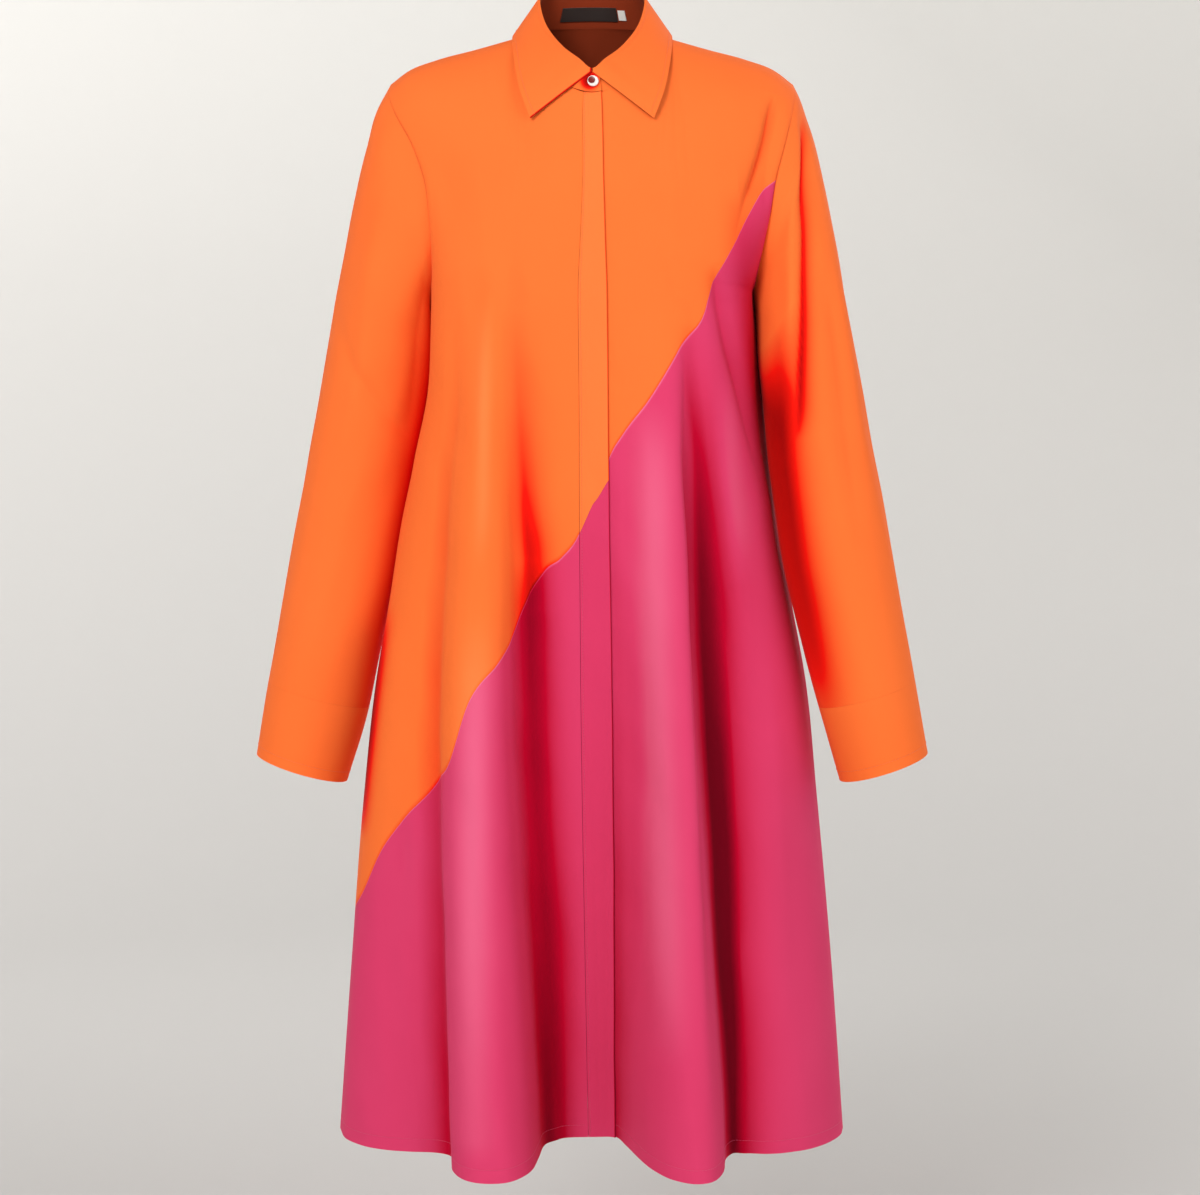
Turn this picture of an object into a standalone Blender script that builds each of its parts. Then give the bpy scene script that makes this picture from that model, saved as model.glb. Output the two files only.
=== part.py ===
"""A long-sleeved shirt dress with a diagonal colour block, filled out as it is worn.

Metres, +Z up. The front faces -Y, and the wearer's right side is at -X. The origin is midway between
the shoulders, level with the seam where the collar stand meets them, because the shoulders of the
wearer hold the dress up.

The body is one surface for the front and one for the back. Each runs from the wearer's right (turn 0)
to the wearer's left (turn 180), and from the neck and shoulders (level 0) through the underarm
(level 1) to the hem (level 2). The panels are cut from these surfaces along the seams, and every piece
is a cloth wall of its own with a small gap to its neighbours.
"""

import math
from collections import namedtuple

import bmesh
import bpy
import mathutils
import numpy as np

MM = 0.001

# Cloth and sewing
CLOTH = 1.6 * MM  # thickness of every cloth wall
GAP = 0.3 * MM  # between two pieces at a seam
BAND_LIFT = CLOTH + 0.9 * MM  # how far the placket band stands over the front under it
LABEL_THICK = 1.0 * MM

# Body
UNDERARM_Z = -235 * MM
UNDERARM_POWER = 3.2  # roundness of a section through the body: 2 is an ellipse, more is squarer
LOWER_POWER = 2.3
LOWER_POWER_Z = -519 * MM  # from here down
NECK_TURN = 57.0  # degrees from the side seam to where the shoulder seam meets the neck
BAND_TURNS = (86.6, 90.0, 93.7)  # the placket band, from its stitched side to its free edge
FRONT_EDGE_TURN = 86.5  # where the front on the wearer's right ends at the band
ARMHOLE_REACH = 0.45  # share of the width that follows the curve of an armhole
FOLD_GROWTH = 1.1  # 1 makes a fold deepen evenly from the underarm to the hem
TURN_STEP = 0.5  # degrees to each side, to find which way the body's surface faces
LEVEL_STEP = 0.01  # the same, up and down

# How fast the cloth falls away below the shoulder seam and the neck: the lower the power, the rounder.
Rounding = namedtuple("Rounding", "turn front back")
ROUNDING = [
    Rounding(0, 0.60, 0.60),
    Rounding(25, 0.60, 0.45),
    Rounding(45, 0.60, 0.33),
    Rounding(57, 0.62, 0.30),
    Rounding(66, 0.75, 0.42),
    Rounding(75, 0.88, 0.64),
    Rounding(90, 0.95, 0.95),
]

# Half-widths to the wearer's right and left, and depths of the front and back, by height.
Section = namedtuple("Section", "z right left front back")
SECTIONS = [
    Section(-235, 146, 146, 112, 108),
    Section(-310, 148, 151, 115, 104),
    Section(-390, 164, 158, 116, 104),
    Section(-445, 176, 166, 116, 107),
    Section(-519, 188, 181, 114, 112),
    Section(-594, 201, 197, 111, 117),
    Section(-700, 213, 209, 107, 123),
    Section(-860, 226, 224, 101, 131),
    Section(-1020, 238, 236, 95, 138),
]

# The armhole, from the tip of the shoulder to the underarm.
ArmholePoint = namedtuple("ArmholePoint", "level z right left front back")
ARMHOLE = [
    ArmholePoint(0.00, -46, 184, 183, 0, 0),
    ArmholePoint(0.06, -54, 185, 184, 14, 14),
    ArmholePoint(0.16, -73, 179, 181, 33, 32),
    ArmholePoint(0.29, -102, 163, 174, 49, 46),
    ArmholePoint(0.43, -135, 151, 165, 58, 54),
    ArmholePoint(0.57, -165, 147, 160, 59, 55),
    ArmholePoint(0.71, -194, 145, 154, 53, 50),
    ArmholePoint(0.85, -219, 145, 149, 36, 35),
    ArmholePoint(0.95, -232, 146, 147, 16, 16),
    ArmholePoint(1.00, -235, 146, 146, 0, 0),
]

# The shoulder seam, from the tip to the neck, as a share of its turns.
ShoulderPoint = namedtuple("ShoulderPoint", "share x z")
SHOULDER = [
    ShoulderPoint(0.00, 184, -46),
    ShoulderPoint(0.14, 168, -34),
    ShoulderPoint(0.36, 142, -24),
    ShoulderPoint(0.66, 106, -14.5),
    ShoulderPoint(1.00, 65, -3),
]

# The collar from the centre front (0) to the centre back (7): the neck seam, the roll where the leaf
# folds over the stand, and the outer edge of the leaf.
CollarPoint = namedtuple("CollarPoint", "neck roll edge")
COLLAR = [
    CollarPoint((0, -88, -61), (0, -82, -42), (54.5, -88, -83.5)),
    CollarPoint((18, -84, -56), (12.5, -76, -31.5), (59, -84.5, -72)),
    CollarPoint((37, -70, -43), (28, -60, -18), (65.5, -71, -52)),
    CollarPoint((55, -40, -22), (42, -32, 3), (72.5, -41, -22.5)),
    CollarPoint((65, 0, -3), (48, 2, 28), (75.5, 4, -0.5)),
    CollarPoint((59, 30, 5), (43, 26, 39), (67, 41, 1)),
    CollarPoint((38, 51, 10), (29, 43, 44), (45, 63.5, 3)),
    CollarPoint((0, 60, 12), (0, 52, 46), (0, 73, 3)),
]
SHOULDER_STATION = 4  # the row of COLLAR where the shoulder seam arrives

# The hem, front and back, from the wearer's right side seam to the left: where each fold's crest,
# flank and valley comes down.
HemPoint = namedtuple("HemPoint", "turn x y z")
FRONT_HEM = [
    HemPoint(0, -238, 0, -1020),
    HemPoint(9, -229, -38, -1020),
    HemPoint(18, -203, -66, -1020),
    HemPoint(26, -168, -79, -1020),
    HemPoint(32, -138, -84, -1020),
    HemPoint(36, -127, -96, -1021),
    HemPoint(40, -126, -126, -1023),
    HemPoint(44, -116, -151, -1024),
    HemPoint(49, -95, -162, -1025),
    HemPoint(54, -71, -157, -1024),
    HemPoint(58, -55, -132, -1022),
    HemPoint(61.5, -49, -98, -1020),
    HemPoint(65, -45, -68, -1018),
    HemPoint(70, -33, -52, -1017),
    HemPoint(78, -20, -46, -1016),
    HemPoint(86.5, -4, -44, -1016),
    HemPoint(90, 8, -43, -1016),
    HemPoint(93.7, 22, -46, -1016),
    HemPoint(98, 32, -68, -1018),
    HemPoint(102, 42, -98, -1020),
    HemPoint(106, 54, -128, -1022),
    HemPoint(110, 72, -153, -1024),
    HemPoint(114, 94, -163, -1025),
    HemPoint(117.5, 110, -154, -1024),
    HemPoint(120, 118, -132, -1022),
    HemPoint(122, 120, -106, -1021),
    HemPoint(125, 126, -88, -1020),
    HemPoint(131, 140, -85, -1020),
    HemPoint(138, 160, -86, -1020),
    HemPoint(147, 187, -78, -1020),
    HemPoint(160, 214, -55, -1020),
    HemPoint(171, 231, -25, -1020),
    HemPoint(180, 236, 0, -1020),
]
BACK_HEM = [
    HemPoint(0, -238, 0, -1020),
    HemPoint(10, -230, 42, -1020),
    HemPoint(20, -206, 78, -1020),
    HemPoint(30, -170, 98, -1020),
    HemPoint(38, -142, 112, -1021),
    HemPoint(45, -126, 142, -1023),
    HemPoint(52, -104, 160, -1024),
    HemPoint(59, -80, 152, -1023),
    HemPoint(66, -66, 120, -1021),
    HemPoint(74, -48, 100, -1019),
    HemPoint(84, -20, 106, -1019),
    HemPoint(92, 4, 136, -1022),
    HemPoint(100, 26, 158, -1024),
    HemPoint(108, 50, 152, -1023),
    HemPoint(115, 64, 122, -1021),
    HemPoint(122, 82, 100, -1019),
    HemPoint(130, 106, 104, -1019),
    HemPoint(138, 128, 128, -1022),
    HemPoint(147, 154, 128, -1022),
    HemPoint(156, 178, 100, -1020),
    HemPoint(167, 214, 66, -1020),
    HemPoint(180, 236, 0, -1020),
]

# The diagonal seam: the level at which it crosses the front and the back.
SeamPoint = namedtuple("SeamPoint", "turn level")
FRONT_SEAM = [
    SeamPoint(0, 1.73),
    SeamPoint(11, 1.7),
    SeamPoint(18, 1.646),
    SeamPoint(25, 1.607),
    SeamPoint(36, 1.558),
    SeamPoint(44, 1.526),
    SeamPoint(49, 1.463),
    SeamPoint(57, 1.42),
    SeamPoint(63, 1.38),
    SeamPoint(67, 1.34),
    SeamPoint(75, 1.315),
    SeamPoint(81, 1.304),
    SeamPoint(86.5, 1.276),
    SeamPoint(90, 1.236),
    SeamPoint(94, 1.187),
    SeamPoint(98, 1.162),
    SeamPoint(106, 1.125),
    SeamPoint(117.5, 1.065),
    SeamPoint(131, 1.005),
    SeamPoint(137, 0.939),
    SeamPoint(144, 0.85),
    SeamPoint(152, 0.754),
    SeamPoint(161, 0.635),
    SeamPoint(170, 0.532),
    SeamPoint(180, 0.43),
]
BACK_SEAM = [
    SeamPoint(0, 1.73),
    SeamPoint(45, 1.45),
    SeamPoint(90, 1.18),
    SeamPoint(135, 0.86),
    SeamPoint(180, 0.43),
]
# In levels, at the three BAND_TURNS: towards its free edge the seam on the band comes lower than on
# the front under it.
BAND_SEAM_DROP = (0.0, 0.004, 0.024)

# A sleeve, from the armhole to the cuff's end: its outer and inner line, half its depth, and how far
# it hangs behind (+) or in front of (-) the side of the body.
SleeveRow = namedtuple(
    "SleeveRow", "share outer_x outer_z right_in_x left_in_x in_z depth right_y left_y"
)
SLEEVE = [
    SleeveRow(0.00, 184, -46, 146, 146, -235, 60, 0, 0),
    SleeveRow(0.08, 197, -71, 149, 149, -247, 60, 2, -3),
    SleeveRow(0.18, 208, -108, 151, 152, -263, 59, 6, -9),
    SleeveRow(0.32, 224, -178, 153, 156, -292, 57, 14, -19),
    SleeveRow(0.46, 240, -262, 157, 161, -334, 55, 24, -29),
    SleeveRow(0.62, 259, -364, 170, 166, -402, 53, 33, -38),
    SleeveRow(0.78, 280, -476, 190, 179, -502, 52, 38, -43),
    SleeveRow(0.90, 301, -592, 215, 209, -617, 50, 40, -44),
    SleeveRow(1.00, 314, -660, 235, 229, -686, 47, 40, -44),
]
SLEEVE_HEAD_TILT = 50.0  # degrees below level at which a sleeve leaves the tip of the shoulder
UNDERARM_FOLD = 90.0  # degrees by which the seam's two edges turn to lie along each other there
FOLD_START = 0.72  # the level on the armhole from which they turn
SLEEVE_BLEND = 0.35  # the share by which the armhole's own shape has passed into ovals
SLEEVE_LEAN = 0.2  # how far a sleeve moves outwards for each step down
RIGHT_SLEEVE_LONGER = 8 * MM  # at the cuff's end, against the table
LEFT_SLEEVE_LONGER = -5 * MM
LEFT_SLEEVE_IN = 2.5 * MM  # the outer line of the left sleeve is this much nearer the body

# Columns and rows of the grids
RIGHT_SHOULDER_TURNS = (0, 5, 11, 18, 25, 31, 36, 40, 44, 49, 54, 57)
RIGHT_NECK_TURNS = (57, 60, 63, 66, 70, 75, 81, FRONT_EDGE_TURN)
LEFT_NECK_TURNS = (86.6, 90, 93.7, 98, 102, 106, 110, 114, 117.5, 120, 123)
LEFT_SHOULDER_TURNS = (123, 126, 131, 137, 144, 152, 161, 170, 180)
BACK_NECK_TURNS = (57, 63, 69, 75, 81, 90, 97, 100, 107, 115, 123)
LABEL_TURNS = (81, 90, 97)
TAB_TURNS = (97, 100)
SIDE_LEVELS = [row.level for row in ARMHOLE]
SEAM_LEVEL_RIGHT = FRONT_SEAM[0].level
SEAM_LEVEL_LEFT = FRONT_SEAM[-1].level
UPPER_SIDE_ROWS = 6  # between the underarm and the seam, at the wearer's right
LOWER_SIDE_ROWS = 8  # between the underarm and the hem, at the wearer's left
LEFT_UPPER_ROWS = (3, 4, 4, 4)  # between the armhole's points above the seam, at the wearer's left
SLEEVE_ROWS = (0, 0.03, 0.08, 0.14, 0.21, 0.29, 0.38, 0.48, 0.59, 0.70, 0.80, 0.90)
CUFF_ROWS = (0.90, 0.95, 1.00)
STAND_HEIGHTS = (0.0, 0.5, 1.0)
STAND_RISE = 0.8 * MM  # its lower edge above the seam line, clear of the folds of the front
LABEL_HEIGHTS = (0.56, 0.2)
TAB_SHARES = (0.12, 0.9)  # between the two TAB_TURNS
TAB_HEIGHTS = (0.5, 0.24)

# The front of the collar, in stations from the centre: how far the overlap stands out fully, and then
# over how many it comes back
OVERLAP_REACH = 0.46
OVERLAP_FADE = 0.85

# Button
BUTTON_RADIUS = 5.0 * MM
BUTTON_THICK = 2.4 * MM
BUTTON_CORNERS = 24
BUTTON_CLEAR = 0.6 * MM  # between its back and the stand, where the stand curves
BUTTON_HEIGHT = 0.46  # its centre, as a share of the stand's height
BUTTON_STATION = -0.05  # its centre, as a station of the collar

# Leaf of the collar: how it turns over the top of the stand, outward and up from the roll line
LEAF_OPENING = 0.04  # stations between the leaf's two front edges and the centre
LeafTurn = namedtuple("LeafTurn", "out up")
LEAF_TURNS = [LeafTurn(-0.6, 1.9), LeafTurn(2.0, 1.7), LeafTurn(3.6, -1.6)]
LEAF_SHARES = (0.3, 0.65, 1.0)  # rows from there to the outer edge
LEAF_BOW = 0.4 * MM  # how far the leaf arches between the roll and its edge


def column(rows, name):
    """One column of a table, in the table's own units."""
    return np.array([getattr(row, name) for row in rows], float)


def through(at, knots, values):
    """A smooth curve through the values at the knots: cubic, with slopes taken from the neighbours."""
    at = np.asarray(at, float)
    knots = np.asarray(knots, float)
    values = np.asarray(values, float)
    slopes = np.gradient(values, knots, axis=0)
    i = np.clip(np.searchsorted(knots, at, side="right") - 1, 0, len(knots) - 2)
    step = knots[i + 1] - knots[i]
    t = (at - knots[i]) / step
    if values.ndim > 1:
        t = t[..., None]
        step = step[..., None]
    return (
        (2 * t**3 - 3 * t**2 + 1) * values[i]
        + (t**3 - 2 * t**2 + t) * step * slopes[i]
        + (3 * t**2 - 2 * t**3) * values[i + 1]
        + (t**3 - t**2) * step * slopes[i + 1]
    )


def ease(t):
    """0 to 1 with no slope at either end."""
    t = np.clip(t, 0, 1)
    return t * t * (3 - 2 * t)


def unit(vectors):
    return vectors / np.linalg.norm(vectors, axis=-1, keepdims=True)


def point(x, y, z):
    return np.stack(np.broadcast_arrays(x, y, z), axis=-1)


# --- The surfaces of the body ---


def round_shares(turn, power):
    """How far a turn lies to the side and to the front of a rounded section, as shares of its size."""
    cosine = np.cos(np.radians(turn))
    across = np.abs(cosine) ** (2 / LOWER_POWER)
    along = np.clip(1 - across**power, 0, 1) ** (1 / power)
    return np.sign(cosine) * across, along


def section(turn, z, back):
    """The plain section of the body at a height, without its folds."""
    table_z = column(SECTIONS, "z")[::-1] * MM

    def size(name):
        return through(z, table_z, column(SECTIONS, name)[::-1] * MM)

    down = ease((UNDERARM_Z - z) / (UNDERARM_Z - LOWER_POWER_Z))
    across, along = round_shares(turn, UNDERARM_POWER + (LOWER_POWER - UNDERARM_POWER) * down)
    half_width = np.where(turn < 90, size("right"), size("left"))
    depth = size("back") if back else -size("front")
    return point(-half_width * across, depth * along, z)


def hem(turn, back):
    rows = BACK_HEM if back else FRONT_HEM
    places = np.array([(row.x, row.y, row.z) for row in rows]) * MM
    return through(turn, column(rows, "turn"), places)


def below_underarm(turn, level, back):
    """Levels 1 to 2: the plain section, with the folds growing towards the hem."""
    down = np.clip(level - 1, 0, 1)
    bottom = hem(turn, back)
    hem_z = SECTIONS[-1].z * MM
    z = UNDERARM_Z + down * (hem_z - UNDERARM_Z)
    folds = bottom - section(turn, np.full_like(z, hem_z), back)
    return section(turn, z, back) + folds * (down**FOLD_GROWTH)[..., None]


def ring(station, line):
    """The collar's neck or roll line. Stations run 0 to 14, once round from the centre front by the
    wearer's right, and any other station counts on from there."""
    half = [getattr(row, line) for row in COLLAR]
    right = [(-x, y, z) for x, y, z in half]
    loop = right + half[-2:0:-1]
    wrapped = [loop[-1], *loop, loop[0], loop[1]]
    turns = len(loop)
    return through(np.mod(station, turns), range(-1, turns + 2), np.array(wrapped) * MM)


def collar_station(turn, back):
    """The collar's station over a turn of the front or the back."""
    if back:
        return SHOULDER_STATION + (turn - NECK_TURN) / (90 - NECK_TURN) * (7 - SHOULDER_STATION)
    return SHOULDER_STATION * (90 - turn) / (90 - NECK_TURN)


def top(turn, back):
    """Level 0: the shoulder seams, with the neck between them."""
    share = np.minimum(turn, 180 - turn) / NECK_TURN
    places = through(
        np.clip(share, 0, 1),
        column(SHOULDER, "share"),
        np.array([(row.x, 0, row.z) for row in SHOULDER]) * MM,
    )
    places = places * point(np.where(turn < 90, -1.0, 1.0), 1.0, 1.0)
    neck = ring(collar_station(turn, back), "neck")
    return np.where((share >= 1)[..., None], neck, places)


def armhole(level, back, side):
    """The armhole of one side, -1 for the wearer's right, in straight stretches between its points."""
    levels = column(ARMHOLE, "level")
    x = np.interp(level, levels, column(ARMHOLE, "right" if side < 0 else "left"))
    y = np.interp(level, levels, column(ARMHOLE, "back" if back else "front"))
    z = np.interp(level, levels, column(ARMHOLE, "z"))
    return point(side * x, y if back else -y, z) * MM


def above_underarm(turn, level, back):
    """Levels 0 to 1: from the top line to the section at the underarm, drawn to both armholes."""
    start = top(turn, back)
    end = below_underarm(turn, np.ones_like(level), back)
    powers = column(ROUNDING, "back" if back else "front")
    round_over = through(np.minimum(turn, 180 - turn), column(ROUNDING, "turn"), powers)
    fall = np.clip(1 - (1 - level) ** 2, 0, 1) ** round_over
    share = point(level, fall, level)
    surface = start + (end - start) * share
    across, along = round_shares(turn, UNDERARM_POWER)
    for side, from_side in ((-1, turn / 180), (1, 1 - turn / 180)):
        corner = np.full_like(turn, 0.0 if side < 0 else 180.0)
        first = top(corner, back)
        last = below_underarm(corner, np.ones_like(level), back)
        side_fall = np.clip(1 - (1 - level) ** 2, 0, 1) ** powers[0]
        ruled = first + (last - first) * point(level, side_fall, level)
        here = np.where(from_side < 0.5, 1.0, 0.0)
        reach = point(here * np.abs(across), here * (1 - along), 1 - ease(from_side / ARMHOLE_REACH))
        surface = surface + (armhole(level, back, side) - ruled) * reach
    return surface


def body(turn, level, back):
    turn, level = np.broadcast_arrays(np.asarray(turn, float), np.asarray(level, float))
    upper = above_underarm(turn, np.clip(level, 0, 1), back)
    lower = below_underarm(turn, np.clip(level, 1, 2), back)
    return np.where((level < 1)[..., None], upper, lower)


def body_normal(turn, level, back):
    """Outward normals of the body's surface."""
    turn, level = np.broadcast_arrays(np.asarray(turn, float), np.asarray(level, float))
    right, left = np.maximum(turn - TURN_STEP, 0), np.minimum(turn + TURN_STEP, 180)
    above, below = np.maximum(level - LEVEL_STEP, 0), np.minimum(level + LEVEL_STEP, 2)
    sideways = body(left, level, back) - body(right, level, back)
    down = body(turn, below, back) - body(turn, above, back)
    return unit(np.cross(sideways, down)) * (1 if back else -1)


# --- Cloth walls ---


def material(name, colour, roughness, metallic=0.0):
    made = bpy.data.materials.new(name)
    made.use_nodes = True
    shader = made.node_tree.nodes["Principled BSDF"]
    shader.inputs["Base Color"].default_value = (*colour, 1)
    shader.inputs["Roughness"].default_value = roughness
    shader.inputs["Metallic"].default_value = metallic
    return made


def add_object(name, mesh, finish, collection):
    made = bpy.data.objects.new(name, mesh)
    mesh.materials.append(finish)
    mesh.shade_smooth()
    mesh.set_sharp_from_angle(angle=math.radians(40))
    collection.objects.link(made)
    return made


def cloth_wall(name, middle, normal, finish, collection, thickness=CLOTH, closed=False):
    """A wall of cloth over a grid of points on its middle surface.

    Rows run down, columns run across, and with closed the last column meets the first. Both faces of
    the wall are split along the same diagonals, so its thickness holds between the points too.
    """
    rows, columns = middle.shape[:2]
    mesh = bpy.data.meshes.new(name)
    shape = bmesh.new()
    outer = middle + normal * thickness / 2
    inner = middle - normal * thickness / 2
    faces_of = [
        [[shape.verts.new(place) for place in row] for row in side] for side in (outer, inner)
    ]

    def across(i, j):
        k = (j + 1) % columns
        near = np.linalg.norm(middle[i, j] - middle[i + 1, k])
        far = np.linalg.norm(middle[i + 1, j] - middle[i, k])
        for side, verts in enumerate(faces_of):
            a, b = verts[i][j], verts[i + 1][j]
            c, d = verts[i + 1][k], verts[i][k]
            split = ((a, b, c), (a, c, d)) if near < far else ((a, b, d), (b, c, d))
            for corners in split:
                shape.faces.new(corners if side == 0 else corners[::-1])

    def rim(first, last):
        """One span of an edge, split the same way on both pieces that meet there."""
        (a, b), (c, d) = first, last
        shape.faces.new((a, b, d))
        shape.faces.new((a, d, c))

    spans = columns if closed else columns - 1
    for i in range(rows - 1):
        for j in range(spans):
            across(i, j)
    out, back = faces_of
    for i in (0, -1):
        for j in range(spans):
            k = (j + 1) % columns
            rim((out[i][j], back[i][j]), (out[i][k], back[i][k]))
    if not closed:
        for j in (0, -1):
            for i in range(rows - 1):
                rim((out[i][j], back[i][j]), (out[i + 1][j], back[i + 1][j]))
    bmesh.ops.recalc_face_normals(shape, faces=shape.faces)
    shape.to_mesh(mesh)
    shape.free()
    return add_object(name, mesh, finish, collection)


def grid_normals(middle, closed, outward_from):
    """Normals of a grid of points, turned away from the given centre of each row."""
    if closed:
        ringed = np.concatenate([middle[:, -1:], middle, middle[:, :1]], axis=1)
        sideways = ringed[:, 2:] - ringed[:, :-2]
    else:
        sideways = np.gradient(middle, axis=1)
    down = np.gradient(middle, axis=0)
    normals = unit(np.cross(sideways, down))
    facing = np.sum(normals * (middle - outward_from), axis=-1, keepdims=True)
    return normals * np.where(facing < 0, -1, 1)


# --- Seams: where two pieces meet, each edge stands back half a gap and both face the same way ---


def edge_frame(line, away, normal, closed=False):
    """The wall's direction along an edge line: square to the line and to the way across the seam."""
    if closed:
        ringed = np.concatenate([line[-1:], line, line[:1]])
        along = ringed[2:] - ringed[:-2]
    else:
        along = np.gradient(line, axis=0)
    across = unit(np.cross(along, away))
    facing = np.sum(across * normal, axis=-1, keepdims=True)
    return across * np.where(facing < 0, -1, 1)


def armhole_loop(side):
    """The armhole's points once round: down the front from the shoulder, then up the back."""
    levels = column(ARMHOLE, "level")
    front = armhole(levels, False, side)
    rear = armhole(levels, True, side)
    loop = np.concatenate([front, rear[-2:0:-1]])
    share = np.concatenate([levels, levels[-2:0:-1]])
    centre = loop.mean(axis=0)
    outward = unit((loop - centre) * np.array([0.0, 1.0, 1.0]))
    tilt = np.radians(SLEEVE_HEAD_TILT) * (1 - share)
    away = point(side * np.cos(tilt), np.zeros_like(tilt), -np.sin(tilt))
    radial = edge_frame(loop, away, outward, closed=True)
    fold = np.radians(UNDERARM_FOLD) * ease((share - FOLD_START) / (1 - FOLD_START))[:, None]
    body_edge = radial * np.cos(fold) + away * np.sin(fold)
    sleeve_edge = radial * np.cos(fold) - away * np.sin(fold)
    back_off = GAP / 2 + CLOTH / 2 * np.sin(fold)
    return loop, away, body_edge, sleeve_edge, back_off


# --- Panels of the body ---


class Panel:
    """A grid on the body's surface, with the edges that are sewn to something else."""

    def __init__(self, turns, levels, back):
        self.turns = np.asarray(turns, float)
        self.levels = levels
        self.back = back
        self.middle = body(self.turns[None, :], levels, back)
        self.normal = body_normal(self.turns[None, :], levels, back)
        self.shift = np.zeros_like(self.middle)
        self.facing = np.zeros_like(self.middle)

    def sew_shoulders(self):
        """The top row outside the neck: the front's edge meets the back's."""
        away = np.array([0.0, -1.0 if self.back else 1.0, 0.0])
        line = self.middle[0]
        facing = edge_frame(line, away, np.array([0.0, 0.0, 1.0]))
        on_shoulder = np.minimum(self.turns, 180 - self.turns) <= NECK_TURN
        inner = on_shoulder & (self.turns > 0) & (self.turns < 180)
        self.shift[0, on_shoulder] -= away * GAP / 2
        self.facing[0, inner] += facing[inner]

    def sew_neck(self):
        at_neck = np.minimum(self.turns, 180 - self.turns) >= NECK_TURN
        away, facing = neck_seam(collar_station(self.turns[at_neck], self.back))
        self.shift[0, at_neck] -= away * GAP / 2
        self.facing[0, at_neck] = facing

    def sew_armhole(self, side):
        """The part of an outer column above the underarm."""
        column_at = 0 if side < 0 else -1
        levels = self.levels[:, column_at]
        rows = levels <= 1 + 1e-9
        edge, facing = armhole_edge(levels[rows], self.back, side)
        self.shift[rows, column_at] += edge - self.middle[rows, column_at]
        self.facing[rows, column_at] = facing

    def sew_side(self, side):
        """The part of an outer column below the underarm, with the underarm's corner."""
        column_at = 0 if side < 0 else -1
        levels = self.levels[:, column_at]
        rows = levels >= 1 - 1e-9
        away = np.array([0.0, -1.0 if self.back else 1.0, 0.0])
        self.shift[rows, column_at] -= away * GAP / 2
        below = levels > 1 + 1e-9
        line = self.middle[:, column_at]
        outward = np.array([float(side), 0.0, 0.0])
        self.facing[below, column_at] = edge_frame(line, away, outward)[below]

    def sew_across(self, row):
        """The first or last row, sewn to the panel above or below it: it stands back along the
        columns, further where the seam runs more steeply across them."""
        inwards = unit(self.middle[1] - self.middle[0] if row == 0 else self.middle[-2] - self.middle[-1])
        along = unit(np.gradient(self.middle[row], axis=0))
        slant = np.sum(along * inwards, axis=-1, keepdims=True)
        self.shift[row] += inwards * GAP / 2 / np.sqrt(1 - slant**2)

    def wall(self, name, finish, collection, lift=0.0):
        turned = np.linalg.norm(self.facing, axis=-1, keepdims=True)
        lone = np.where(turned > 0, self.facing / np.maximum(turned, 1e-9), self.normal)
        middle = self.middle + self.shift + lone * lift
        return cloth_wall(name, middle, lone, finish, collection)


def armhole_edge(levels, back, side):
    """The body's edge along an armhole at any level: straight between the armhole's own points."""
    loop, away, body_edge, _, back_off = armhole_loop(side)
    edge = loop - away * back_off
    count = len(ARMHOLE)
    order = list(range(count))
    if back:
        order = [0, *range(len(loop) - 1, count - 1, -1), count - 1]
    known = column(ARMHOLE, "level")

    def along(values):
        return np.stack([np.interp(levels, known, values[order, axis]) for axis in range(3)], axis=-1)

    return along(edge), along(body_edge)


def neck_seam(stations):
    """The way across the neck seam, from the body up into the stand, and the edges' direction."""
    stations = np.asarray(stations, float)
    neck = ring(stations, "neck")
    along = unit(ring(stations + 0.05, "neck") - ring(stations - 0.05, "neck"))

    def square(vectors):
        return unit(vectors - along * np.sum(vectors * along, axis=-1, keepdims=True))

    rise = square(ring(stations, "roll") - neck)
    wrapped = np.mod(stations + 7, 14) - 7
    slope = np.zeros_like(neck)
    for back in (False, True):
        if back:
            here = np.abs(wrapped) >= SHOULDER_STATION - 1e-9
            turns = NECK_TURN + (np.mod(stations, 14) - SHOULDER_STATION) * (90 - NECK_TURN) / (
                7 - SHOULDER_STATION
            )
        else:
            here = np.abs(wrapped) <= SHOULDER_STATION + 1e-9
            turns = 90 - wrapped * (90 - NECK_TURN) / SHOULDER_STATION
        turns = np.clip(turns, NECK_TURN, 180 - NECK_TURN)
        up = body(turns, 0.0, back) - body(turns, 0.03, back)
        slope += np.where(here[:, None], square(up), 0)
    away = unit(rise + unit(slope))
    outward = (neck - ring([0.0, 7.0], "neck").mean(axis=0)) * np.array([1.0, 1.0, 0.0])
    facing = unit(np.cross(along, away))
    return away, facing * np.where(np.sum(facing * outward, axis=-1, keepdims=True) < 0, -1, 1)


def seam_levels(turns, back):
    rows = BACK_SEAM if back else FRONT_SEAM
    return through(turns, column(rows, "turn"), column(rows, "level"))


def side_rows_right():
    """Levels down the wearer's right side above the seam: the armhole's points, then even steps."""
    steps = np.linspace(1, SEAM_LEVEL_RIGHT, UPPER_SIDE_ROWS + 1)[1:]
    return np.concatenate([SIDE_LEVELS, steps])


def side_rows_left_upper():
    """Levels down the wearer's left armhole above the seam, each of its stretches split evenly."""
    known = [level for level in SIDE_LEVELS if level <= SEAM_LEVEL_LEFT]
    rows = [known[0]]
    for first, last, count in zip(known, known[1:], LEFT_UPPER_ROWS):
        rows.extend(np.linspace(first, last, count + 1)[1:])
    return np.array(rows)


def side_rows_left_lower():
    known = [level for level in SIDE_LEVELS if level >= SEAM_LEVEL_LEFT]
    steps = np.linspace(1, 2, LOWER_SIDE_ROWS + 1)[1:]
    return np.concatenate([known, steps])


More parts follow.
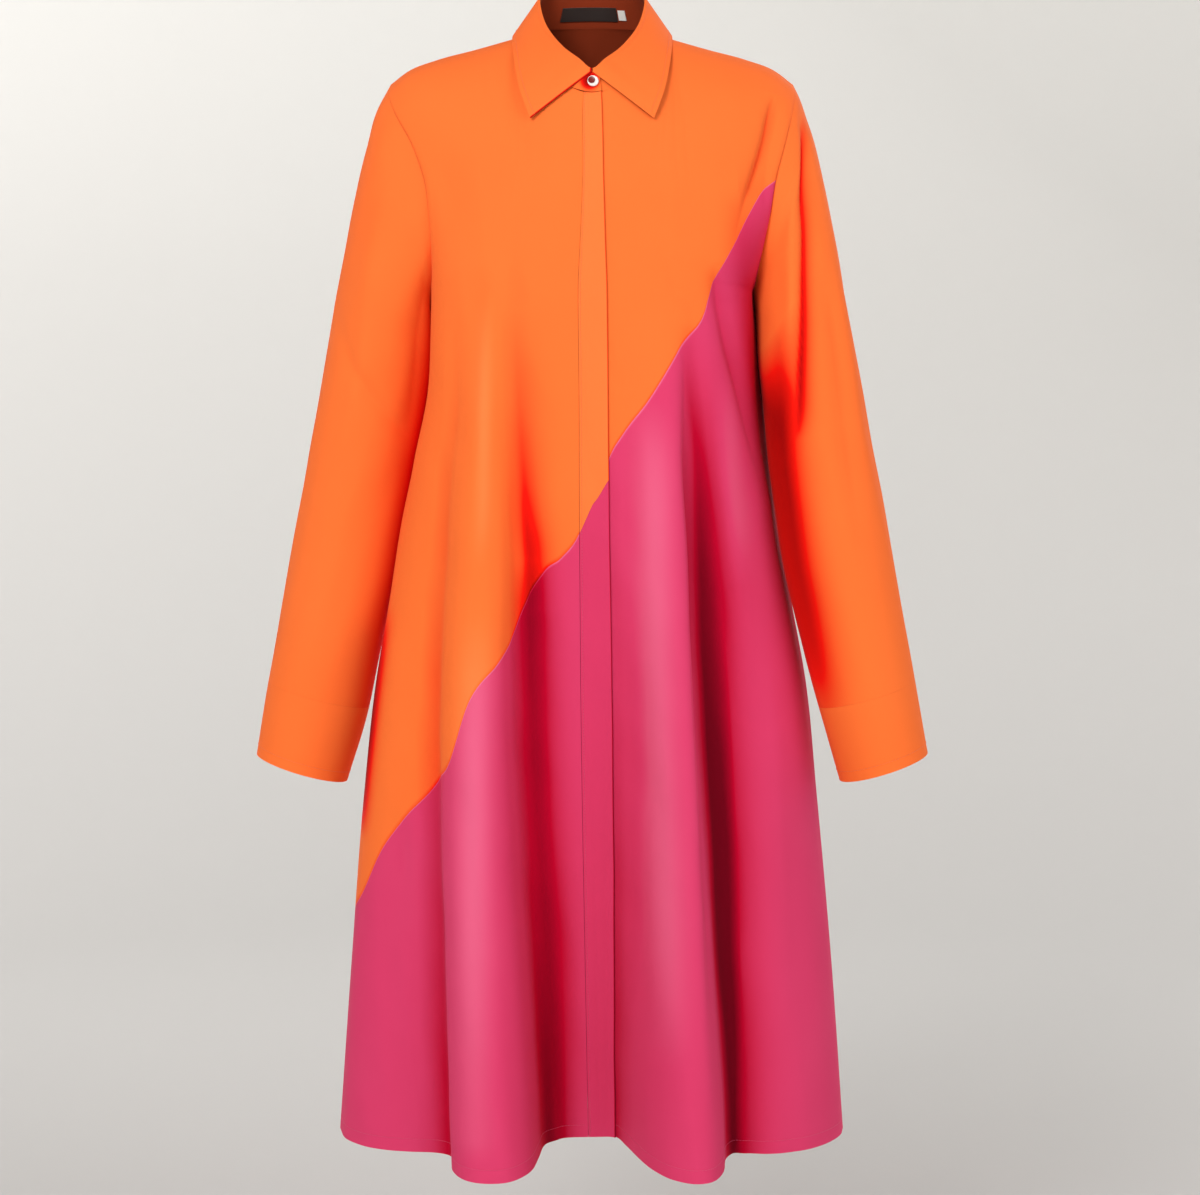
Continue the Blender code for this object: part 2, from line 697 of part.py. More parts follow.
UPPER_SHARES_RIGHT = side_rows_right() / SEAM_LEVEL_RIGHT
UPPER_SHARES_LEFT = side_rows_left_upper() / SEAM_LEVEL_LEFT
LOWER_SHARES = (side_rows_left_lower() - SEAM_LEVEL_LEFT) / (2 - SEAM_LEVEL_LEFT)


def upper_levels(turns, back, drop=0.0):
    """Rows from the top line to the seam. They pass from one side's rows to the other's."""
    leftwards = (np.asarray(turns, float) / 180)[None, :]
    if not back:
        leftwards = np.where(leftwards < 0.5, 0.0, 1.0)
    shares = UPPER_SHARES_RIGHT[:, None] * (1 - leftwards) + UPPER_SHARES_LEFT[:, None] * leftwards
    return shares * (seam_levels(turns, back) + drop)[None, :]


def lower_levels(turns, back, drop=0.0):
    """Rows from the seam to the hem."""
    start = (seam_levels(turns, back) + drop)[None, :]
    return start + LOWER_SHARES[:, None] * (2 - start)


def build_body(orange, pink, collection):
    right_turns = [*RIGHT_SHOULDER_TURNS, *RIGHT_NECK_TURNS[1:]]
    left_turns = [*LEFT_NECK_TURNS, *LEFT_SHOULDER_TURNS[1:]]
    back_turns = [*RIGHT_SHOULDER_TURNS, *BACK_NECK_TURNS[1:], *LEFT_SHOULDER_TURNS[1:]]
    for name, turns, back, sides in (
        ("front_right", right_turns, False, (-1,)),
        ("front_left", left_turns, False, (1,)),
        ("back", back_turns, True, (-1, 1)),
    ):
        upper = Panel(turns, upper_levels(turns, back), back)
        upper.sew_shoulders()
        upper.sew_neck()
        upper.sew_across(-1)
        lower = Panel(turns, lower_levels(turns, back), back)
        lower.sew_across(0)
        for side in sides:
            for panel in (upper, lower):
                panel.sew_armhole(side)
                panel.sew_side(side)
        upper.wall(f"{name}_upper", orange, collection)
        lower.wall(f"{name}_lower", pink, collection)


def build_placket(orange, pink, collection):
    """The band over the front edges, made from the points of the front under it, moved out."""
    turns = np.array(BAND_TURNS)
    upper = Panel(turns, upper_levels(turns, False, np.array(BAND_SEAM_DROP)), False)
    upper.sew_neck()
    upper.sew_across(-1)
    upper.wall("placket_upper", orange, collection, lift=BAND_LIFT)
    lower = Panel(turns, lower_levels(turns, False, np.array(BAND_SEAM_DROP)), False)
    lower.sew_across(0)
    lower.wall("placket_lower", pink, collection, lift=BAND_LIFT)


# --- Sleeves and cuffs ---


def sleeve_ovals(shares, loop, side):
    """Oval sections of a sleeve, each point level with its own point of the armhole's loop."""
    heights = loop[:, 2]
    over = 1 - 2 * (heights.max() - heights) / (heights.max() - heights.min())
    forward = np.where(np.arange(len(loop)) < len(ARMHOLE), -1.0, 1.0)
    aside = np.sqrt(np.clip(1 - over**2, 0, 1)) * forward
    name = "right" if side < 0 else "left"

    def size(field):
        return through(shares, column(SLEEVE, "share"), column(SLEEVE, field) * MM)[:, None]

    trim = LEFT_SLEEVE_IN if side > 0 else 0.0
    outer_x = size("outer_x") - trim * ease(shares[:, None] / 0.1)
    inner_x = size(f"{name}_in_x")
    outer_z, inner_z = size("outer_z"), size("in_z")
    return point(
        side * ((outer_x + inner_x) / 2 + (outer_x - inner_x) / 2 * over),
        size(f"{name}_y") + size("depth") * aside,
        (outer_z + inner_z) / 2 + (outer_z - inner_z) / 2 * over,
    )


def sleeve_points(shares, side):
    """Rows of a sleeve: the armhole's own loop at share 0, passing into ovals down to the cuff."""
    loop = armhole_loop(side)[0]
    shares = np.asarray(shares, float)
    apart = loop - sleeve_ovals(np.array([0.0]), loop, side)[0]
    ovals = sleeve_ovals(shares, loop, side)
    longer = (RIGHT_SLEEVE_LONGER if side < 0 else LEFT_SLEEVE_LONGER) * shares[:, None] ** 2
    ovals = ovals + point(side * longer * SLEEVE_LEAN, 0.0, -longer)
    return ovals + apart * (1 - ease(shares / SLEEVE_BLEND))[:, None, None]


def build_sleeves(orange, collection):
    for name, side in (("right", -1), ("left", 1)):
        _, away, _, sleeve_edge, back_off = armhole_loop(side)
        rows = sleeve_points(SLEEVE_ROWS, side)
        normal = grid_normals(rows, True, rows.mean(axis=1, keepdims=True))
        rows[0] += away * back_off
        normal[0] = sleeve_edge
        rows[-1] -= unit(rows[-1] - rows[-2]) * GAP / 2
        cloth_wall(f"sleeve_{name}", rows, normal, orange, collection, closed=True)
        whole = sleeve_points((SLEEVE_ROWS[-2], *CUFF_ROWS), side)
        turned = grid_normals(whole, True, whole.mean(axis=1, keepdims=True))[1:]
        cuff = whole[1:]
        cuff[0] += unit(cuff[1] - cuff[0]) * GAP / 2
        cloth_wall(f"cuff_{name}", cuff, turned, orange, collection, closed=True)


# --- Collar ---


def overlap_lift(stations):
    """How far the collar stands out at the front, where its right end lies over its left end."""
    from_front = np.abs(np.mod(np.asarray(stations, float) + 7, 14) - 7)
    return BAND_LIFT * (1 - ease((from_front - OVERLAP_REACH) / OVERLAP_FADE))


def stand_points(stations, heights, lift):
    """Rows of the collar stand from the neck seam (0) to the roll (1), and its outward normals."""
    away, facing = neck_seam(stations)
    neck = ring(stations, "neck") + away * STAND_RISE + facing * lift[:, None]
    roll = ring(stations, "roll") + facing * lift[:, None]
    heights = np.asarray(heights, float)[:, None, None]
    middle = neck + (roll - neck) * heights
    along = np.gradient(middle, axis=1)
    normal = unit(np.cross(along, roll - neck))
    normal = normal * np.where(np.sum(normal * facing, axis=-1, keepdims=True) < 0, -1, 1)
    return middle, unit(facing * (1 - heights) + normal * heights)


def neck_stations():
    """The stations of the body's own columns round the neck, from the right front to the left."""
    front_right = collar_station(np.array(RIGHT_NECK_TURNS[::-1], float), False)
    back = collar_station(np.array(BACK_NECK_TURNS, float), True)
    front_left = 14 + collar_station(np.array(LEFT_NECK_TURNS[::-1], float), False)
    return np.concatenate([front_right, back[1:], front_left[1:]])


def build_stand(orange, collection):
    """One band round the neck. Its right end laps over its left end at the front."""
    right_end = collar_station(BAND_TURNS[-1], False)
    stations = np.array([right_end, 0, *neck_stations()])
    lift = np.where(stations < 7, overlap_lift(stations), 0)
    middle, normal = stand_points(stations, STAND_HEIGHTS, lift)
    cloth_wall("collar_stand", middle, normal, orange, collection)


def build_leaf(orange, collection):
    """The leaf folds over the top of the stand and falls to its outer edge and two points."""
    between = [station for station in neck_stations() if LEAF_OPENING < station < 14 - LEAF_OPENING]
    stations = np.array([LEAF_OPENING, *between, 14 - LEAF_OPENING])
    along = ring(stations + 0.05, "roll") - ring(stations - 0.05, "roll")
    up = np.array([0.0, 0.0, 1.0])
    out = unit(np.cross(along, up))
    centre = ring([0.0, 7.0], "roll").mean(axis=0)
    roll = stand_points(stations, [1.0], overlap_lift(stations))[0][0]
    out = out * np.where(np.sum(out * (roll - centre), axis=-1, keepdims=True) < 0, -1, 1)
    turns = [roll + out * turn.out * MM + up * turn.up * MM for turn in LEAF_TURNS]
    half_edge = [row.edge for row in COLLAR]
    edges = [(-x, y, z) for x, y, z in half_edge] + half_edge[-2::-1]
    edge = through(stations, range(15), np.array(edges) * MM)
    start = turns[-1]
    arch = unit(out + up)
    rows = [
        start + (edge - start) * share + arch * LEAF_BOW * math.sin(math.pi * share)
        for share in LEAF_SHARES
    ]
    middle = np.stack([*turns, *rows])
    below = centre + np.array([0.0, 0.0, -60 * MM])
    normal = grid_normals(middle, False, below)
    cloth_wall("collar_leaf", middle, normal, orange, collection)


def build_button(finish, collection):
    stations = np.array([BUTTON_STATION - 0.1, BUTTON_STATION, BUTTON_STATION + 0.1])
    middle, normal = stand_points(stations, [BUTTON_HEIGHT], overlap_lift(stations))
    facing = normal[0, 1]
    mesh = bpy.data.meshes.new("collar_button")
    shape = bmesh.new()
    bmesh.ops.create_cone(
        shape,
        cap_ends=True,
        segments=BUTTON_CORNERS,
        radius1=BUTTON_RADIUS,
        radius2=BUTTON_RADIUS,
        depth=BUTTON_THICK,
    )
    shape.to_mesh(mesh)
    shape.free()
    button = add_object("collar_button", mesh, finish, collection)
    button.rotation_mode = "QUATERNION"
    button.rotation_quaternion = mathutils.Vector(facing).to_track_quat("Z", "Y")
    button.location = middle[0, 1] + facing * (CLOTH / 2 + BUTTON_CLEAR + BUTTON_THICK / 2)


def build_labels(black, white, collection):
    """The label and its tab on the inside of the stand, made from the stand's points, moved in."""
    inward = CLOTH / 2 + GAP + LABEL_THICK / 2
    known = collar_station(np.array(BACK_NECK_TURNS, float), True)
    flat = np.zeros_like(known)
    for name, turns, heights, finish in (
        ("neck_label", LABEL_TURNS, LABEL_HEIGHTS, black),
        ("size_tab", TAB_TURNS, TAB_HEIGHTS, white),
    ):
        middle, normal = stand_points(known, heights, flat)
        at = [BACK_NECK_TURNS.index(turn) for turn in turns]
        middle, normal = middle[:, at], normal[:, at]
        if name == "size_tab":
            first, last = TAB_SHARES
            middle = np.stack(
                [middle[:, 0] + (middle[:, 1] - middle[:, 0]) * share for share in (first, last)], axis=1
            )
        cloth_wall(name, middle - normal * inward, normal, finish, collection, LABEL_THICK)


def main():
    for old in list(bpy.data.objects):
        bpy.data.objects.remove(old)
    collection = bpy.data.collections.new("shirt_dress")
    bpy.context.scene.collection.children.link(collection)
    orange = material("orange_crepe", (1.0, 0.21, 0.05), 0.6)
    pink = material("pink_crepe", (0.79, 0.04, 0.14), 0.6)
    pearl = material("pearl_button", (0.9, 0.88, 0.84), 0.25)
    black = material("black_satin_label", (0.012, 0.01, 0.01), 0.5)
    white = material("white_satin_tab", (0.8, 0.79, 0.76), 0.5)
    build_body(orange, pink, collection)
    build_placket(orange, pink, collection)
    build_sleeves(orange, collection)
    build_stand(orange, collection)
    build_leaf(orange, collection)
    build_button(pearl, collection)
    build_labels(black, white, collection)


main()
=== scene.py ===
"""A long-sleeved shirt dress with a diagonal colour block: its cloth, sewing, materials and studio.

Metres, +Z up. The front faces -Y, and the wearer's right side is at -X. The tables are in millimetres
and repeat the sizes of the frame, so that every piece lies where its solid does, give or take the few
millimetres by which soft cloth hangs closer.
"""

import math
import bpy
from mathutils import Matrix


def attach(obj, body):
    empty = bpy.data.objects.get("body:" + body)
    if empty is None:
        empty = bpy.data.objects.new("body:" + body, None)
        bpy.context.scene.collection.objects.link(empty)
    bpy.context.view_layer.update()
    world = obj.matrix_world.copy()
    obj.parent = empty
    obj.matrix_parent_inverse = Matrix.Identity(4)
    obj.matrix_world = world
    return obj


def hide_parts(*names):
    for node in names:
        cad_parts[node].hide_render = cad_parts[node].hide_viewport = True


bl_info = {
    "name": "Shirt dress",
    "version": (1, 0, 0),
    "blender": (4, 5, 0),
    "location": "3D View > Sidebar > Shirt dress",
    "description": "Builds a colour-blocked shirt dress over its frame, with its sewing and a studio",
    "category": "Object",
}

from collections import namedtuple

import bmesh
import bpy
import mathutils
import numpy as np

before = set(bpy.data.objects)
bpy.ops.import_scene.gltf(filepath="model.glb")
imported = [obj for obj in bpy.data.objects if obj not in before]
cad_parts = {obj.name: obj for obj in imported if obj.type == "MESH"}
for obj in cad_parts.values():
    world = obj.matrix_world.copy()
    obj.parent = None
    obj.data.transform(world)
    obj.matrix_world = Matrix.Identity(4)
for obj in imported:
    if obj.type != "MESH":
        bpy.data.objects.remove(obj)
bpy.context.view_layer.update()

MM = 0.001
BODY = "root"

# --- Sizes shared with the frame ---

WALL = 1.6 * MM  # the frame's cloth
GAP = 0.3 * MM  # between two pieces that lie on each other
SEAM_GAP = 0.1 * MM  # at a sewn seam, drawn closer than in the frame
BAND_LIFT = 2.5 * MM  # how far the placket band stands over the front under it

UNDERARM_Z = -235 * MM
UNDERARM_POWER = 3.2  # roundness of a section through the body: 2 is an ellipse, more is squarer
LOWER_POWER = 2.3
LOWER_POWER_Z = -519 * MM  # from here down
NECK_TURN = 57.0  # degrees from the side seam to where the shoulder seam meets the neck
BAND_TURNS = (86.6, 90.0, 93.7)  # the placket band, from its stitched side to its free edge
FRONT_EDGE_TURN = 86.5  # where the front on the wearer's right ends at the band
ARMHOLE_REACH = 0.45  # share of the width that follows the curve of an armhole
FOLD_GROWTH = 1.1  # 1 makes a fold deepen evenly from the underarm to the hem
SOFT_REACH = 0.22  # levels above and below the underarm over which its bend is softened
SOFT_STEP = 0.045  # how far up and down the surface is averaged there, in levels
SOFT_TURNS = 10.0  # degrees from a side seam within which the softening sets in
SOFT_CORNER = 16.0  # degrees from the corner of the neck over which its bend is softened
SOFT_CORNER_STEP = 5.0  # how far round the surface is averaged there, in degrees
SOFT_WEIGHTS = (1, 4, 6, 4, 1)  # of the places that are averaged, from one side to the other
SIDE_FADE = 7.0  # degrees from a side seam over which the creases set in
TOP_FADE = 0.09  # levels from the shoulder seam over which they do
ARMHOLE_TILT = 50.0  # degrees by which the seam's way across tips down at the tip of the shoulder
# Towards the underarm the cloth on both sides of the armhole's seam folds down from it: from which
# share of the way down, and over how much of it.
UNDERARM_FOLD_START = 0.72
UNDERARM_FOLD_RUN = 0.28
SHARP_ANGLE = 50.0  # degrees between two faces from which their edge is drawn sharp

# How fast the cloth falls away below the shoulder seam and the neck: the lower the power, the rounder.
Rounding = namedtuple("Rounding", "turn front back")
ROUNDING = [
    Rounding(0, 0.60, 0.60),
    Rounding(25, 0.60, 0.45),
    Rounding(45, 0.60, 0.33),
    Rounding(57, 0.62, 0.30),
    Rounding(66, 0.75, 0.42),
    Rounding(75, 0.88, 0.64),
    Rounding(90, 0.95, 0.95),
]

# Half-widths to the wearer's right and left, and depths of the front and back, by height.
Section = namedtuple("Section", "z right left front back")
SECTIONS = [
    Section(-235, 146, 146, 112, 108),
    Section(-310, 148, 154, 115, 104),
    Section(-390, 164, 163, 116, 104),
    Section(-445, 176, 170, 116, 107),
    Section(-519, 188, 184, 114, 112),
    Section(-594, 201, 198, 111, 117),
    Section(-700, 213, 209, 107, 123),
    Section(-860, 226, 224, 101, 131),
    Section(-1020, 238, 236, 95, 138),
]

# The armhole, from the tip of the shoulder to the underarm.
ArmholePoint = namedtuple("ArmholePoint", "level z right left front back")
ARMHOLE = [
    ArmholePoint(0.00, -46, 184, 183, 0, 0),
    ArmholePoint(0.06, -54, 185, 184, 14, 14),
    ArmholePoint(0.16, -73, 179, 181, 33, 32),
    ArmholePoint(0.29, -102, 163, 174, 49, 46),
    ArmholePoint(0.43, -135, 151, 165, 58, 54),
    ArmholePoint(0.57, -165, 147, 160, 59, 55),
    ArmholePoint(0.71, -194, 145, 154, 53, 50),
    ArmholePoint(0.85, -219, 145, 149, 36, 35),
    ArmholePoint(0.95, -232, 146, 147, 16, 16),
    ArmholePoint(1.00, -235, 146, 146, 0, 0),
]

# The shoulder seam, from the tip to the neck, as a share of its turns.
ShoulderPoint = namedtuple("ShoulderPoint", "share x z")
SHOULDER = [
    ShoulderPoint(0.00, 184, -46),
    ShoulderPoint(0.14, 168, -34),
    ShoulderPoint(0.36, 142, -24),
    ShoulderPoint(0.66, 106, -14.5),
    ShoulderPoint(1.00, 65, -3),
]

# The collar from the centre front (0) to the centre back (7): the neck seam, the roll where the leaf
# folds over the stand, and the outer edge of the leaf.
CollarPoint = namedtuple("CollarPoint", "neck roll edge")
COLLAR = [
    CollarPoint((0, -88, -61), (0, -82, -42), (54.5, -88, -83.5)),
    CollarPoint((18, -84, -56), (12.5, -76, -31.5), (59, -84.5, -72)),
    CollarPoint((37, -70, -43), (28, -60, -18), (65.5, -71, -52)),
    CollarPoint((55, -40, -22), (42, -32, 3), (70.8, -41, -22.5)),
    CollarPoint((65, 0, -3), (48, 2, 28), (72.2, 4, -1.0)),
    CollarPoint((59, 30, 5), (43, 26, 39), (64.8, 40, 1)),
    CollarPoint((38, 51, 10), (29, 43, 44), (45, 63.5, 3)),
    CollarPoint((0, 60, 12), (0, 52, 46), (0, 73, 3)),
]
SHOULDER_STATION = 4  # the row of COLLAR where the shoulder seam arrives
BACK_STATION = 7  # the row of COLLAR at the centre back
STATIONS = 14  # once round
STATION_STEP = 0.05  # to either side of a station, to find the way along the collar
# In stations from the centre front: how far the overlap lies at its full height, and over how far it
# then fades out.
OVERLAP_FLAT = 0.46
OVERLAP_FADE = 0.85

# The hem, front and back, from the wearer's right side seam to the left: where each fold's crest,
# flank and valley comes down.
HemPoint = namedtuple("HemPoint", "turn x y z")
FRONT_HEM = [
    HemPoint(0, -238, 0, -1020),
    HemPoint(9, -229, -38, -1020),
    HemPoint(18, -203, -66, -1020),
    HemPoint(26, -168, -79, -1020),
    HemPoint(32, -138, -84, -1020),
    HemPoint(36, -127, -96, -1021),
    HemPoint(40, -126, -126, -1023),
    HemPoint(44, -116, -151, -1024),
    HemPoint(49, -95, -162, -1025),
    HemPoint(54, -71, -157, -1024),
    HemPoint(58, -55, -132, -1022),
    HemPoint(61.5, -49, -98, -1020),
    HemPoint(65, -45, -68, -1018),
    HemPoint(70, -33, -52, -1017),
    HemPoint(78, -20, -46, -1016),
    HemPoint(86.5, -4, -44, -1016),
    HemPoint(90, 8, -43, -1016),
    HemPoint(93.7, 22, -46, -1016),
    HemPoint(98, 32, -68, -1018),
    HemPoint(102, 42, -98, -1020),
    HemPoint(106, 54, -128, -1022),
    HemPoint(110, 72, -153, -1024),
    HemPoint(114, 94, -163, -1025),
    HemPoint(117.5, 110, -154, -1024),
    HemPoint(120, 118, -132, -1022),
    HemPoint(122, 120, -106, -1021),
    HemPoint(125, 126, -88, -1020),
    HemPoint(131, 140, -85, -1020),
    HemPoint(138, 160, -86, -1020),
    HemPoint(147, 187, -78, -1020),
    HemPoint(160, 214, -55, -1020),
    HemPoint(171, 231, -25, -1020),
    HemPoint(180, 236, 0, -1020),
]
BACK_HEM = [
    HemPoint(0, -238, 0, -1020),
    HemPoint(10, -230, 42, -1020),
    HemPoint(20, -206, 78, -1020),
    HemPoint(30, -170, 98, -1020),
    HemPoint(38, -142, 112, -1021),
    HemPoint(45, -126, 142, -1023),
    HemPoint(52, -104, 160, -1024),
    HemPoint(59, -80, 152, -1023),
    HemPoint(66, -66, 120, -1021),
    HemPoint(74, -48, 100, -1019),
    HemPoint(84, -20, 106, -1019),
    HemPoint(92, 4, 136, -1022),
    HemPoint(100, 26, 158, -1024),
    HemPoint(108, 50, 152, -1023),
    HemPoint(115, 64, 122, -1021),
    HemPoint(122, 82, 100, -1019),
    HemPoint(130, 106, 104, -1019),
    HemPoint(138, 128, 128, -1022),
    HemPoint(147, 154, 128, -1022),
    HemPoint(156, 178, 100, -1020),
    HemPoint(167, 214, 66, -1020),
    HemPoint(180, 236, 0, -1020),
]

# The diagonal seam: the level at which it crosses the front and the back.
SeamPoint = namedtuple("SeamPoint", "turn level")
FRONT_SEAM = [
    SeamPoint(0, 1.73),
    SeamPoint(11, 1.7),
    SeamPoint(18, 1.646),
    SeamPoint(25, 1.607),
    SeamPoint(36, 1.558),
    SeamPoint(44, 1.526),
    SeamPoint(49, 1.463),
    SeamPoint(57, 1.42),
    SeamPoint(63, 1.396),
    SeamPoint(65, 1.384),
    SeamPoint(67, 1.366),
    SeamPoint(71, 1.338),
    SeamPoint(75, 1.319),
    SeamPoint(81, 1.304),
    SeamPoint(86.5, 1.276),
    SeamPoint(90, 1.236),
    SeamPoint(94, 1.187),
    SeamPoint(98, 1.162),
    SeamPoint(106, 1.125),
    SeamPoint(117.5, 1.065),
    SeamPoint(131, 1.005),
    SeamPoint(137, 0.939),
    SeamPoint(144, 0.85),
    SeamPoint(152, 0.754),
    SeamPoint(161, 0.635),
    SeamPoint(170, 0.532),
    SeamPoint(180, 0.43),
]
BACK_SEAM = [
    SeamPoint(0, 1.73),
    SeamPoint(45, 1.45),
    SeamPoint(90, 1.18),
    SeamPoint(135, 0.86),
    SeamPoint(180, 0.43),
]
# In levels, at the three BAND_TURNS: towards its free edge the seam on the band comes lower than on
# the front under it.
BAND_SEAM_DROP = (0.0, 0.004, 0.024)

# A sleeve, from the armhole to the cuff's end: its outer and inner line, half its depth, and how far
# it hangs behind (+) or in front of (-) the side of the body.
SleeveRow = namedtuple(
    "SleeveRow", "share outer_x outer_z right_in_x left_in_x in_z depth right_y left_y"
)
SLEEVE = [
    SleeveRow(0.00, 184, -46, 146, 146, -235, 60, 0, 0),
    SleeveRow(0.08, 197, -71, 149, 149, -247, 60, 2, -3),
    SleeveRow(0.18, 208, -108, 151, 152, -263, 59, 6, -9),
    SleeveRow(0.32, 224, -178, 153, 156, -292, 57, 14, -19),
    SleeveRow(0.46, 240, -262, 157, 161, -334, 55, 24, -29),
    SleeveRow(0.62, 259, -364, 170, 166, -402, 53, 33, -38),
    SleeveRow(0.78, 280, -476, 190, 179, -502, 52, 38, -43),
    SleeveRow(0.90, 301, -592, 215, 209, -617, 50, 40, -44),
    SleeveRow(1.00, 314, -660, 235, 229, -686, 47, 40, -44),
]
# How much further out the outer line of the cloth hangs than the frame's, and how much nearer the
# body its inner line does, so that the sleeves lie against the sides.
SleeveFit = namedtuple("SleeveFit", "share right_out right_in left_out left_in")
SLEEVE_FIT = [
    SleeveFit(0.00, 0.0, 0.0, 0.0, 0.0),
    SleeveFit(0.08, 0.0, 1.0, -0.2, 0.5),
    SleeveFit(0.20, 0.2, 3.3, -1.2, 2.0),
    SleeveFit(0.30, 0.5, 4.3, -2.4, 3.4),
    SleeveFit(0.40, 0.8, 3.8, -3.5, 5.0),
    SleeveFit(0.46, 1.0, 3.2, -4.0, 5.8),
    SleeveFit(0.55, 1.5, 3.2, -4.0, 6.0),
    SleeveFit(0.62, 2.0, 3.0, -4.0, 6.0),
    SleeveFit(0.70, 2.2, 3.5, -3.5, 3.6),
    SleeveFit(0.78, 2.5, 4.5, -3.0, 2.6),
    SleeveFit(0.85, 3.0, 3.0, -3.0, 1.2),
    SleeveFit(0.90, 3.5, 4.0, -3.0, 0.0),
    SleeveFit(1.00, 2.0, 3.0, -3.5, 0.0),
]
SLEEVE_BLEND = 0.35  # the share by which the armhole's own shape has passed into ovals
SLEEVE_LEAN = 0.2  # how far a sleeve moves outwards for each step down
RIGHT_SLEEVE_LONGER = 8 * MM  # at the cuff's end, against the table
LEFT_SLEEVE_LONGER = -5 * MM
LEFT_SLEEVE_IN = 2.5 * MM  # the outer line of the left sleeve is this much nearer the body
CUFF_SHARE = 0.90  # where a cuff is sewn to its sleeve
SLEEVE_RUN = 620.0  # mm from the armhole to the cuff's end
SLEEVE_ROUND = 0.87  # mm round a sleeve for each degree

# Button, label and tab
BUTTON_THICK = 2.4 * MM
BUTTON_CLEAR = 0.6 * MM
BUTTON_SLIDE = (-0.62, 0.5)  # the dish, painted dark as the leaf's shadow, sits off the middle, so that the rim is broad on one side
BUTTON_HEIGHT = 0.46  # its centre, as a share of the stand's height
BUTTON_STATION = -0.05  # its centre, as a station of the collar
LABEL_TURNS = (81.0, 97.0)
LABEL_HEIGHTS = (0.56, 0.20)
TAB_TURNS = (97.4, 99.7)
TAB_HEIGHTS = (0.50, 0.24)
LABEL_THICK = 1.0 * MM

# The leaf of the collar
LEAF_OPENING = 0.04
LeafTurn = namedtuple("LeafTurn", "out up")
LEAF_TURNS = [LeafTurn(-0.3, 1.75), LeafTurn(1.2, 1.6), LeafTurn(2.4, -1.2)]
LEAF_BOW = 0.4 * MM

# The band is stitched down at its first edge, so no step shows there, and stands away at its free edge.
BandPoint = namedtuple("BandPoint", "turn lift")
BAND_SHAPE = [
    BandPoint(86.6, 0.2),
    BandPoint(87.0, 0.0),
    BandPoint(87.4, 0.3),
    BandPoint(88.6, 0.9),
    BandPoint(92.6, 1.3),
    BandPoint(93.7, 1.5),
]
# The front under the band stands back by as much, until it comes out from under it.
UNDER_BAND_SHAPE = [
    BandPoint(86.6, -2.0),
    BandPoint(89.0, -1.6),
    BandPoint(92.0, -0.6),
    BandPoint(94.2, -0.5),
    BandPoint(97.0, 0.0),
]

# --- Creases ---

# A crease runs along its points (x, z, depth): a trough where the depth is positive and a ridge where
# it is negative. It spreads so many millimetres to each side of its line. A power of 2 is a soft
# crease and 1 is a sharp one.
Crease = namedtuple("Crease", "left right power points")
FRONT_CREASES = [
    # the deep valley between the wearer's right flute and the placket, and the light ridge beside it
    Crease(13, 32, 1.4, ((-66, -252, 0), (-66, -310, 3), (-63, -370, 6), (-58, -440, 9), (-54, -510, 11),
                         (-51, -600, 10), (-47, -700, 6), (-42, -800, 3), (-40, -900, 0))),
    Crease(13, 11, 1.8, ((-86, -200, 0), (-89, -250, -4), (-94, -330, -6), (-102, -420, -5),
                         (-110, -520, -2), (-114, -600, 0))),
    # the sharp edge of the other flute, and the soft crest and hollow past it
    Crease(7, 52, 1.4, ((80, -262, 0), (84, -332, 6), (88, -402, 11), (95, -473, 14), (98, -580, 15),
                        (103, -685, 13), (106, -756, 10), (108, -827, 7), (111, -900, 4), (114, -980, 0))),
    Crease(13, 17, 1.8, ((102, -270, 0), (108, -332, -4), (117, -402, -6), (129, -473, -5), (142, -544, -3),
                         (150, -620, 0))),
    Crease(8, 24, 1.4, ((109, -210, 0), (112, -240, 6), (122, -282, 8), (135, -322, 8), (150, -380, 5),
                        (162, -430, 0))),
    # drape from the shoulders
    Crease(4, 14, 1.3, ((164, -58, 0), (160, -75, 6), (155, -100, 8), (148, -125, 9), (142, -142, 8),
                        (136, -158, 4), (126, -190, 0))),
    Crease(16, 18, 2.0, ((-140, -90, 0), (-128, -150, 3), (-118, -220, 0))),
    # soft hollows beside the placket
    Crease(14, 14, 2.0, ((36, -400, 0), (40, -520, 3), (42, -680, 4), (42, -840, 2), (40, -940, 0))),
    Crease(16, 20, 2.0, ((180, -640, 0), (186, -740, 3), (190, -860, 3), (194, -960, 0))),
    Crease(16, 14, 2.0, ((-178, -700, 0), (-184, -800, 3), (-188, -920, 0))),
]
BACK_CREASES = [
    Crease(18, 22, 1.6, ((-62, -240, 0), (-66, -360, 5), (-70, -520, 8), (-70, -700, 5), (-66, -860, 0))),
    Crease(14, 16, 1.8, ((-112, -210, 0), (-118, -330, -3), (-122, -480, -4), (-118, -640, 0))),
    Crease(20, 16, 1.6, ((52, -260, 0), (56, -400, 6), (62, -560, 8), (66, -740, 5), (68, -900, 0))),
    Crease(16, 20, 1.8, ((-8, -180, 0), (-6, -300, -3), (0, -450, -4), (6, -620, 0))),
    Crease(12, 14, 1.5, ((132, -120, 0), (126, -180, 3), (118, -250, 4), (108, -330, 0))),
    Crease(12, 14, 1.5, ((-138, -110, 0), (-130, -170, 3), (-120, -240, 3), (-112, -310, 0))),
    Crease(16, 16, 1.7, ((112, -330, 0), (118, -470, 4), (122, -640, 4), (120, -800, 0))),
]

